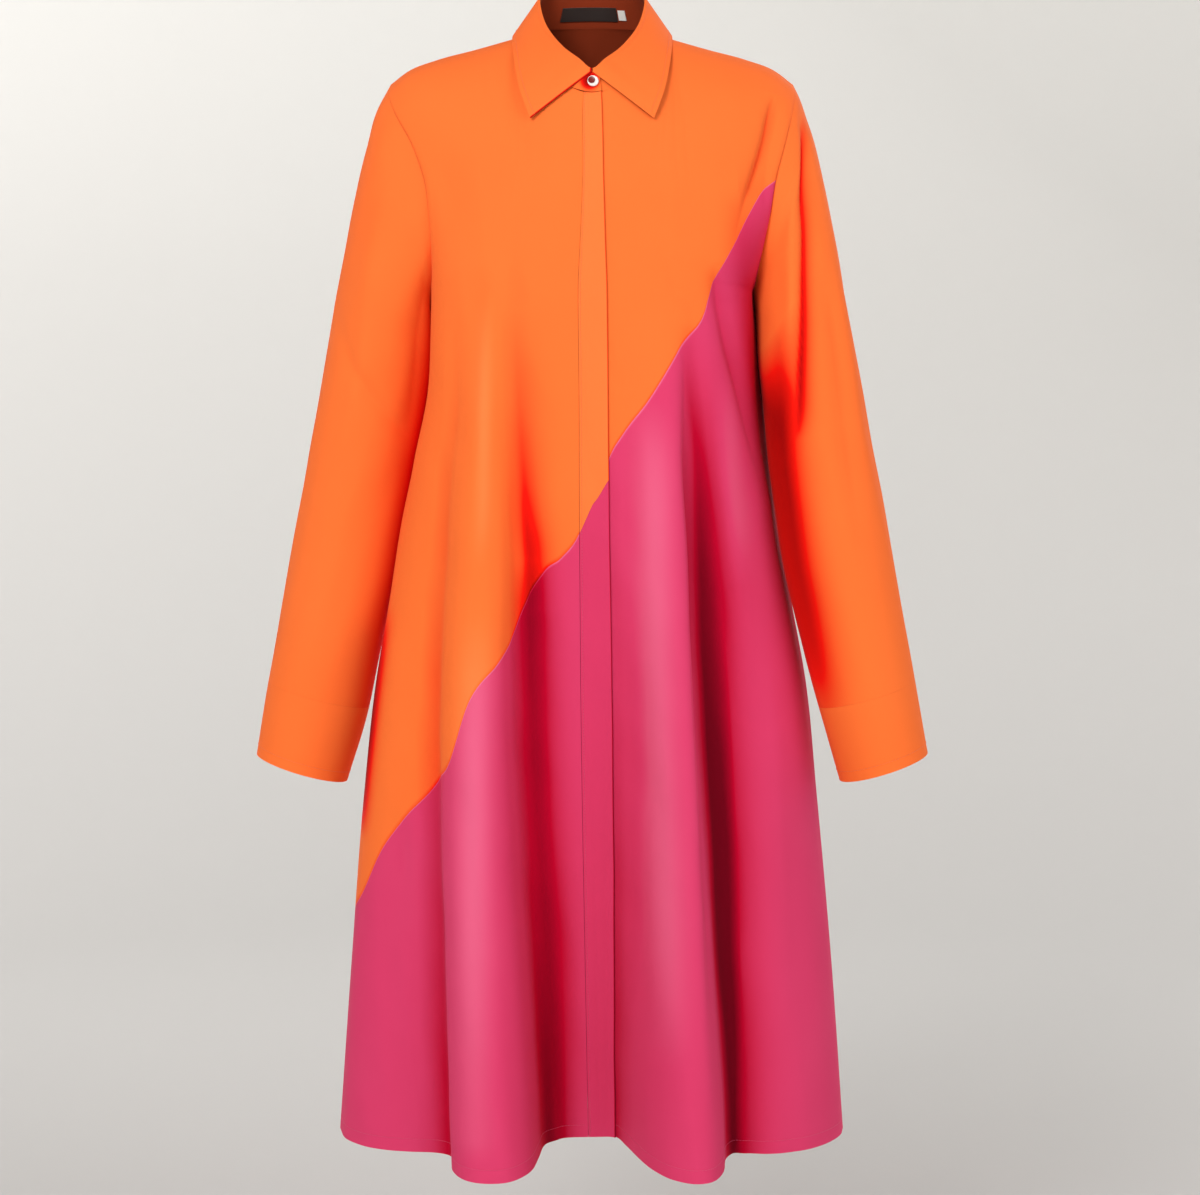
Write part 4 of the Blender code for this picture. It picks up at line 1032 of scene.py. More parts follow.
def sleeve_ovals(shares, loop, side):
    """Oval sections of a sleeve, each point level with its own point of the armhole's loop."""
    heights = loop[:, 2]
    over = 1 - 2 * (heights.max() - heights) / (heights.max() - heights.min())
    forward = np.where(np.arange(len(loop)) < ARMHOLE_COUNT, -1.0, 1.0)
    aside = np.sqrt(np.clip(1 - over**2, 0, 1)) * forward
    name = "right" if side < 0 else "left"

    def size(field):
        return through(shares, column(SLEEVE, "share"), column(SLEEVE, field) * MM)[:, None]

    def fit(field):
        return through(shares, column(SLEEVE_FIT, "share"), column(SLEEVE_FIT, field) * MM)[:, None]

    trim = LEFT_SLEEVE_IN if side > 0 else 0.0
    outer_x = size("outer_x") - trim * ease(shares[:, None] / 0.1) + fit(f"{name}_out")
    inner_x = size(f"{name}_in_x") - fit(f"{name}_in")
    outer_z, inner_z = size("outer_z"), size("in_z")
    return point(
        side * ((outer_x + inner_x) / 2 + (outer_x - inner_x) / 2 * over),
        size(f"{name}_y") + size("depth") * aside,
        (outer_z + inner_z) / 2 + (outer_z - inner_z) / 2 * over,
    )


def sleeve_points(shares, side):
    """Rows of a sleeve: the armhole's own loop at share 0, passing into ovals down to the cuff."""
    loop = armhole_loop(side)[0]
    shares = np.asarray(shares, float)
    apart = loop - sleeve_ovals(np.array([0.0]), loop, side)[0]
    ovals = sleeve_ovals(shares, loop, side)
    longer = (RIGHT_SLEEVE_LONGER if side < 0 else LEFT_SLEEVE_LONGER) * shares[:, None] ** 2
    ovals = ovals + point(side * longer * SLEEVE_LEAN, 0.0, -longer)
    return ovals + apart * (1 - ease(shares / SLEEVE_BLEND))[:, None, None]


def sleeve_places(shares):
    """The millimetres round and down of each point of a sleeve, and its degrees from the inner line."""
    half = np.linspace(0, 180, ARMHOLE_COUNT)
    degrees = np.concatenate([half, -half[-2:0:-1]])
    u = np.broadcast_to(degrees[None, :] * SLEEVE_ROUND, (len(shares), len(degrees)))
    v = np.broadcast_to((shares * SLEEVE_RUN)[:, None], u.shape)
    return u, v, np.abs(np.mod(degrees, 360) - 180)


def round_sleeve(creases):
    """A sleeve's table with its degrees turned into millimetres round the sleeve."""
    return [
        crease._replace(points=[(turn * SLEEVE_ROUND, down, depth) for turn, down, depth in crease.points])
        for crease in creases
    ]


def sleeve_shade(shares, side):
    """How much painted shade each point of a sleeve has, from its table."""
    u, v, _ = sleeve_places(shares)
    table = RIGHT_SLEEVE_SHADES if side < 0 else LEFT_SLEEVE_SHADES
    return crease_sum(u, v, round_sleeve(table), wrap=360 * SLEEVE_ROUND)


def sleeve_push(shares, side):
    """How far a sleeve's cloth stands back: its own creases, fading out at the armhole and cuff."""
    u, v, from_inner = sleeve_places(shares)
    table = RIGHT_SLEEVE_CREASES if side < 0 else LEFT_SLEEVE_CREASES
    depth = bpy.context.scene.shirt_dress_cloth.crease_depth * MM
    push = crease_sum(u, v, round_sleeve(table), wrap=360 * SLEEVE_ROUND) * depth
    # no swells along the inner line, which lies against the body
    push = push + unevenness(u, v, 4.0 + side) * ease(from_inner / 50)
    fade = ease(shares / 0.05) * ease((CUFF_SHARE + 0.02 - shares) / 0.12)
    return push * fade[:, None]


def overlap_lift(stations):
    """How far the collar stands out at the front, where its right end lies over its left end."""
    from_front = np.abs(signed_station(stations))
    return BAND_LIFT * (1 - ease((from_front - OVERLAP_FLAT) / OVERLAP_FADE))


def stand_points(stations, heights, lift):
    """Rows of the collar stand from the neck seam (0) to the roll (1), and its outward normals."""
    away, facing = neck_seam(stations)
    neck = ring(stations, "neck") + away * 0.1 * MM + facing * lift[:, None]
    roll = ring(stations, "roll") + facing * lift[:, None]
    heights = np.asarray(heights, float)[:, None, None]
    middle = neck + (roll - neck) * heights
    along = np.gradient(middle, axis=1)
    normal = unit(np.cross(along, roll - neck))
    normal = normal * np.where(np.sum(normal * facing, axis=-1, keepdims=True) < 0, -1, 1)
    return middle, unit(facing * (1 - heights) + normal * heights)


# --- Materials ---


def linear(hex_colour):
    """An sRGB hex colour as a linear one with full alpha."""
    parts = [int(hex_colour[i : i + 2], 16) / 255 for i in (1, 3, 5)]
    return (*[p / 12.92 if p <= 0.04045 else ((p + 0.055) / 1.055) ** 2.4 for p in parts], 1.0)


def add_node(material, kind, settings=(), values=(), links=()):
    """Adds a node with its settings, the values of its inputs and links from (node, output) pairs."""
    tree = material.node_tree
    node = tree.nodes.new(kind)
    for name, value in dict(settings).items():
        setattr(node, name, value)
    for name, value in dict(values).items():
        node.inputs[name].default_value = value
    for name, (source, output) in dict(links).items():
        tree.links.new(source.outputs[output], node.inputs[name])
    return node


def new_material(name, values):
    material = bpy.data.materials.new(name)
    material.use_nodes = True
    shader = material.node_tree.nodes["Principled BSDF"]
    for socket, value in values.items():
        shader.inputs[socket].default_value = value
    return material, shader


def plug(shader, sockets):
    """Links (node, output) pairs to the shader's inputs."""
    for socket, (source, output) in sockets.items():
        shader.id_data.links.new(source.outputs[output], shader.inputs[socket])


def crepe(name, crest, plain, fold, pit, inside):
    """Polyester crepe, woven plain from hard-twisted yarn and piece-dyed: matt and even, with a fine
    pebbled grain and a soft bloom where it turns away. Its colour carries painted light: a painted
    highlight on the crests and painted shade in the folds and pits, standing in for light that passes
    from wall to wall, and a darker painted shade on the inner face."""
    material, shader = new_material(
        name,
        {"Roughness": 0.78, "Sheen Weight": 0.02, "Sheen Roughness": 0.45, "Specular IOR Level": 0.06},
    )
    place = add_node(material, "ShaderNodeTexCoord")
    # the pebbled grain is 0.5 mm on real crepe, drawn at 1.4 mm so that it shows
    grain = add_node(
        material, "ShaderNodeTexNoise", values={"Scale": 700.0, "Detail": 3.0, "Roughness": 0.6},
        links={"Vector": (place, "Object")},
    )
    cloud = add_node(
        material, "ShaderNodeTexNoise", values={"Scale": 9.0, "Detail": 2.0},
        links={"Vector": (place, "Object")},
    )
    shade = add_node(material, "ShaderNodeAttribute", settings={"attribute_name": "fold"})
    # piece-dyeing takes a little unevenly, by a few hundredths of the way from a crest to a fold; this is
    # added to the painted shade
    uneven_and_shade = add_node(
        material, "ShaderNodeMath", settings={"operation": "MULTIPLY_ADD"},
        values={1: 0.16}, links={0: (cloud, 0), 2: (shade, 2)},
    )
    spread = add_node(
        material, "ShaderNodeMapRange", values={1: -0.92, 2: 2.08}, links={0: (uneven_and_shade, 0)},
    )
    # the ramp turns the painted shade into colour: a painted highlight, the plain dye, the painted shade of
    # a fold and the darkest painted shade of a pit
    dye_and_shade = add_node(material, "ShaderNodeValToRGB", links={0: (spread, 0)})
    stops = dye_and_shade.color_ramp.elements
    stops[0].color = linear(crest)
    stops[1].color = linear(pit)
    stops.new(1 / 3).color = plain
    stops.new(2 / 3).color = linear(fold)
    bump = add_node(
        material, "ShaderNodeBump", values={"Strength": 0.25, "Distance": 0.0002},
        links={"Height": (grain, 0)},
    )
    # the inner face takes a darker painted shade
    inner_shade = add_node(material, "ShaderNodeAttribute", settings={"attribute_name": "inside"})
    with_inner_shade = add_node(
        material, "ShaderNodeMix", settings={"data_type": "RGBA"},
        values={7: linear(inside)}, links={0: (inner_shade, 2), 6: (dye_and_shade, 0)},
    )
    plug(shader, {"Base Color": (with_inner_shade, 2), "Normal": (bump, 0)})
    return material


def satin(name, base, thread):
    """Woven satin tape of polyester: smooth and slightly glossy, with fine ribs along the warp."""
    material, shader = new_material(
        name, {"Roughness": 0.42, "Sheen Weight": 0.2, "Specular IOR Level": 0.4}
    )
    place = add_node(material, "ShaderNodeTexCoord")
    # the ribs are 0.25 mm apart on a real tape, drawn at 0.9 mm so that they show
    ribs = add_node(
        material, "ShaderNodeTexWave", settings={"bands_direction": "Z"},
        values={"Scale": 350.0, "Distortion": 0.4}, links={"Vector": (place, "Object")},
    )
    colour = add_node(
        material, "ShaderNodeMix", settings={"data_type": "RGBA"},
        values={6: base, 7: linear(thread)}, links={0: (ribs, 1)},
    )
    bump = add_node(
        material, "ShaderNodeBump", values={"Strength": 0.3, "Distance": 0.0001},
        links={"Height": (ribs, 1)},
    )
    plug(shader, {"Base Color": (colour, 2), "Normal": (bump, 0)})
    return material


def pearl(name, rim):
    """Moulded polyester button with a pearl finish: glossy and milky, with faint clouds in it."""
    material, shader = new_material(
        name, {"Roughness": 0.18, "IOR": 1.56, "Coat Weight": 0.6, "Coat Roughness": 0.08}
    )
    place = add_node(material, "ShaderNodeTexCoord")
    cloud = add_node(
        material, "ShaderNodeTexNoise", values={"Scale": 420.0, "Detail": 2.0, "Distortion": 1.5},
        links={"Vector": (place, "Object")},
    )
    colour = add_node(
        material, "ShaderNodeMix", settings={"data_type": "RGBA"},
        values={6: linear("#E6DDD6"), 7: rim}, links={0: (cloud, 0)},
    )
    plug(shader, {"Base Color": (colour, 2)})
    return material


def dish_shadow(name):
    """Dark crimson in the dished middle of the button, a painted shadow of the leaf over it: deep,
    wet-looking colour.
    """
    material, shader = new_material(name, {"Roughness": 0.3, "IOR": 1.5})
    place = add_node(material, "ShaderNodeTexCoord")
    cloud = add_node(
        material, "ShaderNodeTexNoise", values={"Scale": 600.0}, links={"Vector": (place, "Object")},
    )
    colour = add_node(
        material, "ShaderNodeMix", settings={"data_type": "RGBA"},
        values={6: linear("#5A0D0A"), 7: linear("#8A1A12")}, links={0: (cloud, 0)},
    )
    plug(shader, {"Base Color": (colour, 2)})
    return material


def thread(name, colour, twist):
    """Spun polyester sewing thread: matt, with its two plies showing as slanted bands."""
    material, shader = new_material(name, {"Roughness": 0.65, "Sheen Weight": 0.2})
    place = add_node(material, "ShaderNodeTexCoord")
    plies = add_node(
        material, "ShaderNodeTexWave", settings={"bands_direction": "DIAGONAL"},
        values={"Scale": 900.0}, links={"Vector": (place, "Object")},
    )
    colours = add_node(
        material, "ShaderNodeMix", settings={"data_type": "RGBA"},
        values={6: linear(twist), 7: linear(colour)}, links={0: (plies, 1)},
    )
    plug(shader, {"Base Color": (colours, 2)})
    return material


def finish(name):
    """A finish by name, made the first time it is asked for."""
    if name in bpy.data.materials:
        return bpy.data.materials[name]
    cloth = bpy.context.scene.shirt_dress_cloth
    sewing = bpy.context.scene.shirt_dress_sewing
    orange = (*cloth.orange_dye, 1.0)
    pink = (*cloth.pink_dye, 1.0)
    rim = (*sewing.button_colour, 1.0)
    tape = (*sewing.label_colour, 1.0)
    makers = {
        # crepe colours in order: painted highlight on crests, plain dye, painted shade of folds, darkest
        # painted shade of pits, and the darker painted shade of the inner face
        "orange crepe": lambda: crepe(name, "#FF8E50", orange, "#FA180A", "#9C0404", "#8C341A"),
        "pink crepe": lambda: crepe(name, "#F2769A", pink, "#BE002C", "#760018", "#9E2048"),
        "pearl polyester": lambda: pearl(name, rim),
        "crimson enamel": lambda: dish_shadow(name),
        "black satin tape": lambda: satin(name, tape, "#2E1D17"),
        "white satin tape": lambda: satin(name, linear("#E6E2DA"), "#F6F4EF"),
        "orange thread": lambda: thread(name, "#FF7A38", "#E0561C"),
        "pink thread": lambda: thread(name, "#E24B79", "#C42E5C"),
        "backdrop paper": lambda: paper(name),
    }
    return makers[name]()


def paper(name):
    """Seamless backdrop paper: matt, with the finest tooth, and paler towards the top, a painted shade that
    darkens it towards the floor.
    """
    material, shader = new_material(name, {"Roughness": 0.95, "Specular IOR Level": 0.1})
    place = add_node(material, "ShaderNodeTexCoord")
    tooth = add_node(
        material, "ShaderNodeTexNoise", values={"Scale": 300.0}, links={"Vector": (place, "Object")},
    )
    bump = add_node(
        material, "ShaderNodeBump", values={"Strength": 0.05, "Distance": 0.0002},
        links={"Height": (tooth, 0)},
    )
    split = add_node(material, "ShaderNodeSeparateXYZ", links={"Vector": (place, "Object")})
    # painted shade: the paper's colour darkens towards the floor
    height = add_node(
        material, "ShaderNodeMapRange", values={1: -1.4, 2: 1.0}, links={0: (split, 2)},
    )
    colour = add_node(
        material, "ShaderNodeMix", settings={"data_type": "RGBA"},
        values={6: linear("#C4C2C0"), 7: linear("#EDECE8")}, links={0: (height, 0)},
    )
    plug(shader, {"Base Color": (colour, 2), "Normal": (bump, 0)})
    return material


# --- Settings ---


class ClothSettings(bpy.types.PropertyGroup):
    thickness: bpy.props.FloatProperty(
        name="Cloth thickness",
        description="Thickness of the sewn cloth with its facings",
        default=1.4 * MM,
        unit="LENGTH",
    )
    crease_depth: bpy.props.FloatProperty(
        name="Crease depth",
        description="How deep the creases are, against their tables",
        default=1.0,
        subtype="FACTOR",
    )
    columns_apart: bpy.props.FloatProperty(
        name="Column spacing",
        description="Degrees between two columns of a body panel's grid",
        default=0.8,
    )
    orange_dye: bpy.props.FloatVectorProperty(
        name="Upper colour",
        description="Dye of the cloth above the diagonal seam, of the sleeves and of the collar",
        default=linear("#FF7635")[:3],
        subtype="COLOR",
    )
    pink_dye: bpy.props.FloatVectorProperty(
        name="Lower colour",
        description="Dye of the cloth below the diagonal seam",
        default=linear("#DD3F6C")[:3],
        subtype="COLOR",
    )


class SewingSettings(bpy.types.PropertyGroup):
    stitch_length: bpy.props.FloatProperty(
        name="Stitch length",
        description="Length of one lockstitch in the topstitching",
        default=2.8 * MM,
        unit="LENGTH",
    )
    thread_width: bpy.props.FloatProperty(
        name="Thread width",
        description="Thickness of the sewing thread",
        default=0.45 * MM,
        unit="LENGTH",
    )
    hem_depth: bpy.props.FloatProperty(
        name="Hem depth",
        description="Distance of the hem's stitches from its edge",
        default=12 * MM,
        unit="LENGTH",
    )
    cuff_depth: bpy.props.FloatProperty(
        name="Cuff stitching",
        description="Distance of a cuff's stitches from its edge",
        default=10 * MM,
        unit="LENGTH",
    )
    collar_depth: bpy.props.FloatProperty(
        name="Collar stitching",
        description="Distance of the collar's stitches from its edge",
        default=5 * MM,
        unit="LENGTH",
    )
    button_radius: bpy.props.FloatProperty(
        name="Button radius",
        description="Radius of the collar button",
        default=5 * MM,
        unit="LENGTH",
    )
    button_colour: bpy.props.FloatVectorProperty(
        name="Button colour",
        description="Colour of the button's pearl rim",
        default=linear("#FBF8F4")[:3],
        subtype="COLOR",
    )
    label_colour: bpy.props.FloatVectorProperty(
        name="Label colour",
        description="Colour of the label's satin tape",
        default=linear("#1C0F0B")[:3],
        subtype="COLOR",
    )


class StageSettings(bpy.types.PropertyGroup):
    key_power: bpy.props.FloatProperty(
        name="Key light",
        description="Power of the large soft light in front",
        default=74.0,
        unit="POWER",
    )
    fill_power: bpy.props.FloatProperty(
        name="Fill light",
        description="Power of the soft lights at the sides and behind",
        default=28.0,
        unit="POWER",
    )
    wash_power: bpy.props.FloatProperty(
        name="Backdrop light",
        description="Power of the light that washes over the backdrop",
        default=33.0,
        unit="POWER",
    )
    floor_drop: bpy.props.FloatProperty(
        name="Floor height",
        description="Height of the floor under the hanging dress",
        default=-1.32,
        unit="LENGTH",
    )


# --- Operators ---


# Rows and columns of the grids
BODY_ROWS = 150
BAND_COLUMNS = 25
SLEEVE_ROWS = 190
CUFF_ROWS = 34
STAND_COLUMNS = 240
STAND_ROWS = 14
LEAF_COLUMNS = 241
LEAF_ROWS = 26
LEAF_BEND_ROWS = 9  # of them over the fold
LABEL_COLUMNS = 40
LABEL_ROWS = 12
BAND_STITCH_COLUMN = 2  # of the band's grid, counted from its stitched edge


def inside_edge(middle, facing, distance):
    """The line that runs at a distance inside the last row of a grid, and its normals."""
    upwards = middle[::-1]
    steps = np.linalg.norm(np.diff(upwards, axis=0), axis=-1)
    run = np.concatenate([np.zeros((1, steps.shape[1])), np.cumsum(steps, axis=0)])
    row = np.array([np.interp(distance, run[:, i], np.arange(len(run))) for i in range(run.shape[1])])
    low = np.minimum(row.astype(int), len(run) - 2)
    share = (row - low)[:, None]
    at = np.arange(run.shape[1])
    normals = facing[::-1]
    line = upwards[low, at] * (1 - share) + upwards[low + 1, at] * share
    return line, unit(normals[low, at] * (1 - share) + normals[low + 1, at] * share)


# Across a stitch, from where it comes out of the cloth to where it goes in: how far along it is, how
# wide against the thread, and how high over the cloth against the thread.
StitchRing = namedtuple("StitchRing", "along width height")
STITCH = [
    StitchRing(0.06, 0.5, -0.3),
    StitchRing(0.30, 1.0, 0.25),
    StitchRing(0.70, 1.0, 0.25),
    StitchRing(0.94, 0.5, -0.3),
]


def topstitch(name, line, normals, colour):
    """Lockstitches laid end to end along a line on the cloth's outer face."""
    sewing = bpy.context.scene.shirt_dress_sewing
    thickness = bpy.context.scene.shirt_dress_cloth.thickness
    line = line + normals * thickness / 2
    run = np.concatenate([[0.0], np.cumsum(np.linalg.norm(np.diff(line, axis=0), axis=1))])
    starts = np.arange(int(run[-1] / sewing.stitch_length)) * sewing.stitch_length

    def along(values, places):
        return np.stack([np.interp(places, run, values[:, axis]) for axis in range(3)], axis=-1)

    ahead = unit(along(line, starts + sewing.stitch_length) - along(line, starts))
    rings = []
    for ring_at in STITCH:
        places = starts + ring_at.along * sewing.stitch_length
        up = unit(along(normals, places))
        side = unit(np.cross(up, ahead))
        centre = along(line, places) + up * ring_at.height * sewing.thread_width
        half = ring_at.width * sewing.thread_width / 2
        square = [centre + side * half, centre + up * half, centre - side * half, centre - up * half]
        rings.append(np.stack(square, axis=1))
    corners = np.stack(rings, axis=1)
    count = len(starts)
    index = np.arange(corners[..., 0].size).reshape(count, len(STITCH), 4)
    beside = np.roll(index, -1, axis=2)
    walls = np.stack([index[:, :-1], beside[:, :-1], beside[:, 1:], index[:, 1:]], axis=-1).reshape(-1, 4)
    faces = np.concatenate([walls, index[:, 0, ::-1], index[:, -1]])
    mesh = bpy.data.meshes.new(name)
    mesh.from_pydata(corners.reshape(-1, 3).tolist(), [], faces.tolist())
    mesh.shade_smooth()
    dress_piece(name, mesh, finish(f"{colour} thread"))


class DRESS_OT_body(bpy.types.Operator):
    """Drapes the fronts and the back, above and below the diagonal seam"""

    bl_idname = "shirt_dress.body"
    bl_label = "Body panels"

    def execute(self, context):
        sewing = context.scene.shirt_dress_sewing
        step = context.scene.shirt_dress_cloth.columns_apart
        right = side_turns(0, FRONT_EDGE_TURN, NECK_TURN, step)
        left = side_turns(BAND_TURNS[0], 180, 180 - NECK_TURN, step)
        rear_right = side_turns(0, 90, NECK_TURN, step)
        rear_left = side_turns(90, 180, 180 - NECK_TURN, step)
        rear = np.concatenate([rear_right, rear_left[1:]])
        for name, turns, back, sides in (
            ("front_right", right, False, (-1,)),
            ("front_left", left, False, (1,)),
            ("back", rear, True, (-1, 1)),
        ):
            upper = Panel(turns, upper_levels(turns, back, BODY_ROWS), back)
            upper.sew_shoulders()
            upper.sew_neck()
            upper.sew_across(-1)
            lower = Panel(turns, lower_levels(turns, back, BODY_ROWS), back)
            lower.sew_across(0)
            for side in sides:
                for panel in (upper, lower):
                    panel.sew_armhole(side)
                    panel.sew_side(side)
            for part, panel, colour in (("upper", upper, "orange"), ("lower", lower, "pink")):
                node = f"{name}_{part}"
                middle, facing = panel.cloth()
                places = middle / MM
                # painted shade in the hollows and along the shade tables, with painted highlights where the
                # tables give them
                shade = hollows(middle, facing) + crease_sum(
                    places[..., 0], places[..., 2], BACK_SHADES if back else FRONT_SHADES
                )
                # painted shade above the diagonal seam and a painted highlight below it
                if part == "upper":
                    shade[-1] += ABOVE_SEAM_SHADE
                else:
                    shade[0] += BELOW_SEAM_SHADE
                sew_crepe(node, middle, facing, shade, colour)
                if part == "lower":
                    edge_line = inside_edge(middle, facing, sewing.hem_depth)
                    topstitch(f"{name}_hem_stitches", *edge_line, colour)
        return {"FINISHED"}


class DRESS_OT_placket(bpy.types.Operator):
    """Lays the placket band over the front edges"""

    bl_idname = "shirt_dress.placket"
    bl_label = "Placket band"

    def execute(self, context):
        turns = np.linspace(BAND_TURNS[0], BAND_TURNS[-1], BAND_COLUMNS)
        drop = np.interp(turns, BAND_TURNS, BAND_SEAM_DROP)
        lift = np.interp(turns, column(BAND_SHAPE, "turn"), column(BAND_SHAPE, "lift") * MM)[None, :, None]
        for node, rows, seam_row, colour in (
            ("placket_upper", upper_levels(turns, False, BODY_ROWS, drop), -1, "orange"),
            ("placket_lower", lower_levels(turns, False, BODY_ROWS, drop), 0, "pink"),
        ):
            panel = Panel(turns, rows, False, band=True)
            if node == "placket_upper":
                panel.sew_neck()
            panel.sew_across(seam_row)
            middle, facing = panel.cloth(lift=lift)
            # a painted highlight on the orange band and painted shade on the pink one, and a painted shadow
            # along the free edge
            shade = np.full(middle.shape[:2], BAND_SHADES[colour])
            shade[:, -1] = BAND_EDGE_SHADE
            sew_crepe(node, middle, facing, shade, colour)
            line, out = middle[:, BAND_STITCH_COLUMN], facing[:, BAND_STITCH_COLUMN]
            topstitch(f"{node}_stitches", line, out, colour)
        return {"FINISHED"}


class DRESS_OT_sleeves(bpy.types.Operator):
    """Hangs both sleeves from their armholes, each with its cuff"""

    bl_idname = "shirt_dress.sleeves"
    bl_label = "Sleeves and cuffs"

    def execute(self, context):
        sewing = context.scene.shirt_dress_sewing
        for name, side in (("right", -1), ("left", 1)):
            _, away, _, sleeve_edge, back_off = armhole_loop(side)
            shares = crowded(SLEEVE_ROWS) * CUFF_SHARE
            rows = sleeve_points(shares, side)
            normal = grid_normals(rows, True, rows.mean(axis=1, keepdims=True))
            push = sleeve_push(shares, side)
            rows = rows - normal * push[..., None]
            rows[0] += away * back_off
            normal[0] = sleeve_edge
            rows[-1] -= unit(rows[-1] - rows[-2]) * SEAM_GAP / 2
            # painted shade in the hollows and along the sleeve's shade table
            shade = hollows(rows, normal, columns=5, closed=True) + sleeve_shade(shares, side)
            sew_crepe(f"sleeve_{name}", rows, normal, shade, closed=True)
            shares = CUFF_SHARE + crowded(CUFF_ROWS) * (1 - CUFF_SHARE)
            whole = sleeve_points(shares, side)
            turned = grid_normals(whole, True, whole.mean(axis=1, keepdims=True))
            whole[0] += unit(whole[1] - whole[0]) * SEAM_GAP / 2
            sew_crepe(f"cuff_{name}", whole, turned, np.zeros(whole.shape[:2]), closed=True)
            line, out = inside_edge(whole, turned, sewing.cuff_depth)
            line, out = np.concatenate([line, line[:1]]), np.concatenate([out, out[:1]])
            topstitch(f"cuff_{name}_stitches", line, out, "orange")
        return {"FINISHED"}


class DRESS_OT_collar(bpy.types.Operator):
    """Sets the collar stand on the neck and folds the leaf over it"""

    bl_idname = "shirt_dress.collar"
    bl_label = "Collar"

    def execute(self, context):
        right_end = collar_station(BAND_TURNS[-1], False)
        left_end = STATIONS + collar_station(BAND_TURNS[0], False)
        stations = np.linspace(right_end, left_end, STAND_COLUMNS)
        lift = np.where(stations < BACK_STATION, overlap_lift(stations), 0)
        middle, normal = stand_points(stations, np.linspace(0, 1, STAND_ROWS), lift)
        # a painted shadow on the stand round the button, where the leaves shade it
        button = stand_points(np.array([BUTTON_STATION, 0.1]), [BUTTON_HEIGHT], np.zeros(2))[0][0, 0]
        aside = middle[..., 0] - button[0] - BUTTON_SHADE_ASIDE
        above = middle[..., 2] - button[2] - BUTTON_SHADE_UP
        spread = np.exp(-((np.hypot(aside, above) / BUTTON_SHADE_REACH) ** 4))
        shade = np.where(stations < BACK_STATION, BUTTON_SHADE, 0.0) * spread
        sew_crepe("collar_stand", middle, normal, shade)
        middle, normal = leaf_points()
        # a painted shadow on the leaf's front edge at the wearer's right
        shade = np.zeros(middle.shape[:2])
        shade[:, :2] = LEAF_EDGE_SHADE
        sew_crepe("collar_leaf", middle, normal, shade)
        edge_line = inside_edge(middle, normal, context.scene.shirt_dress_sewing.collar_depth)
        topstitch("collar_leaf_stitches", *edge_line, "orange")
        return {"FINISHED"}


def leaf_points():
    """The leaf folds over the top of the stand and falls to its outer edge and two points."""
    stations = np.linspace(LEAF_OPENING, STATIONS - LEAF_OPENING, LEAF_COLUMNS)
    along = ring(stations + STATION_STEP, "roll") - ring(stations - STATION_STEP, "roll")
    up = np.array([0.0, 0.0, 1.0])
    out = unit(np.cross(along, up))
    centre = ring([0.0, BACK_STATION], "roll").mean(axis=0)
    roll = stand_points(stations, [1.0], overlap_lift(stations))[0][0]
    out = out * np.where(np.sum(out * (roll - centre), axis=-1, keepdims=True) < 0, -1, 1)
    turns = [roll + out * turn.out * MM + up * turn.up * MM for turn in LEAF_TURNS]
    half_edge = [row.edge for row in COLLAR]
    edges = [(-x, y, z) for x, y, z in half_edge] + half_edge[-2::-1]
    edge = through(stations, range(STATIONS + 1), np.array(edges) * MM)
    start = turns[-1]
    arch = unit(out + up)
    known = np.stack(turns).reshape(len(turns), -1)
    at = np.linspace(0, len(turns) - 1, LEAF_BEND_ROWS)
    bend = through(at, range(len(turns)), known).reshape(LEAF_BEND_ROWS, -1, 3)
    shares = np.linspace(0, 1, LEAF_ROWS)[1:, None, None]
    fall = start + (edge - start) * shares + arch * LEAF_BOW * np.sin(np.pi * shares)
    middle = np.concatenate([bend, fall])
    below = centre + np.array([0.0, 0.0, -60 * MM])
    return middle, grid_normals(middle, False, below)


class DRESS_OT_button(bpy.types.Operator):
    """Turns the collar button, with its rim and dished middle"""

    bl_idname = "shirt_dress.button"
    bl_label = "Collar button"

    def execute(self, context):
        radius = context.scene.shirt_dress_sewing.button_radius
        stations = np.array([BUTTON_STATION - 0.1, BUTTON_STATION, BUTTON_STATION + 0.1])
        middle, normal = stand_points(stations, [BUTTON_HEIGHT], overlap_lift(stations))
        facing = normal[0, 1]
        centre = middle[0, 1] + facing * (WALL / 2 + BUTTON_CLEAR + BUTTON_THICK / 2)
        turn = mathutils.Vector(facing).to_track_quat("Z", "Y").to_matrix().to_4x4()
        place = mathutils.Matrix.Translation(centre) @ turn
        half = BUTTON_THICK / 2
        rim = [
            (0.0, -half), (0.72, -half), (0.93, -half * 0.8), (1.0, -half * 0.2), (0.99, half * 0.35),
            (0.93, half * 0.85), (0.84, half), (0.74, half * 0.85), (0.66, half * 0.45),
            (0.62, half * 0.25),
        ]
        dish = [(0.62, half * 0.25), (0.45, half * 0.12), (0.25, half * 0.05), (0.0, half * 0.03)]
        # the dished middle is a painted shadow of the leaf, in dark crimson
        for name, profile, material in (
            ("button_rim", rim, "pearl polyester"),
            ("button_dish", dish, "crimson enamel"),
        ):
            mesh = turned_mesh(name, profile, radius, slide=BUTTON_SLIDE)
            mesh.transform(place)
            nodes = ["collar_button"] if name == "button_rim" else []
            dress_piece(name, mesh, finish(material), nodes)
        return {"FINISHED"}


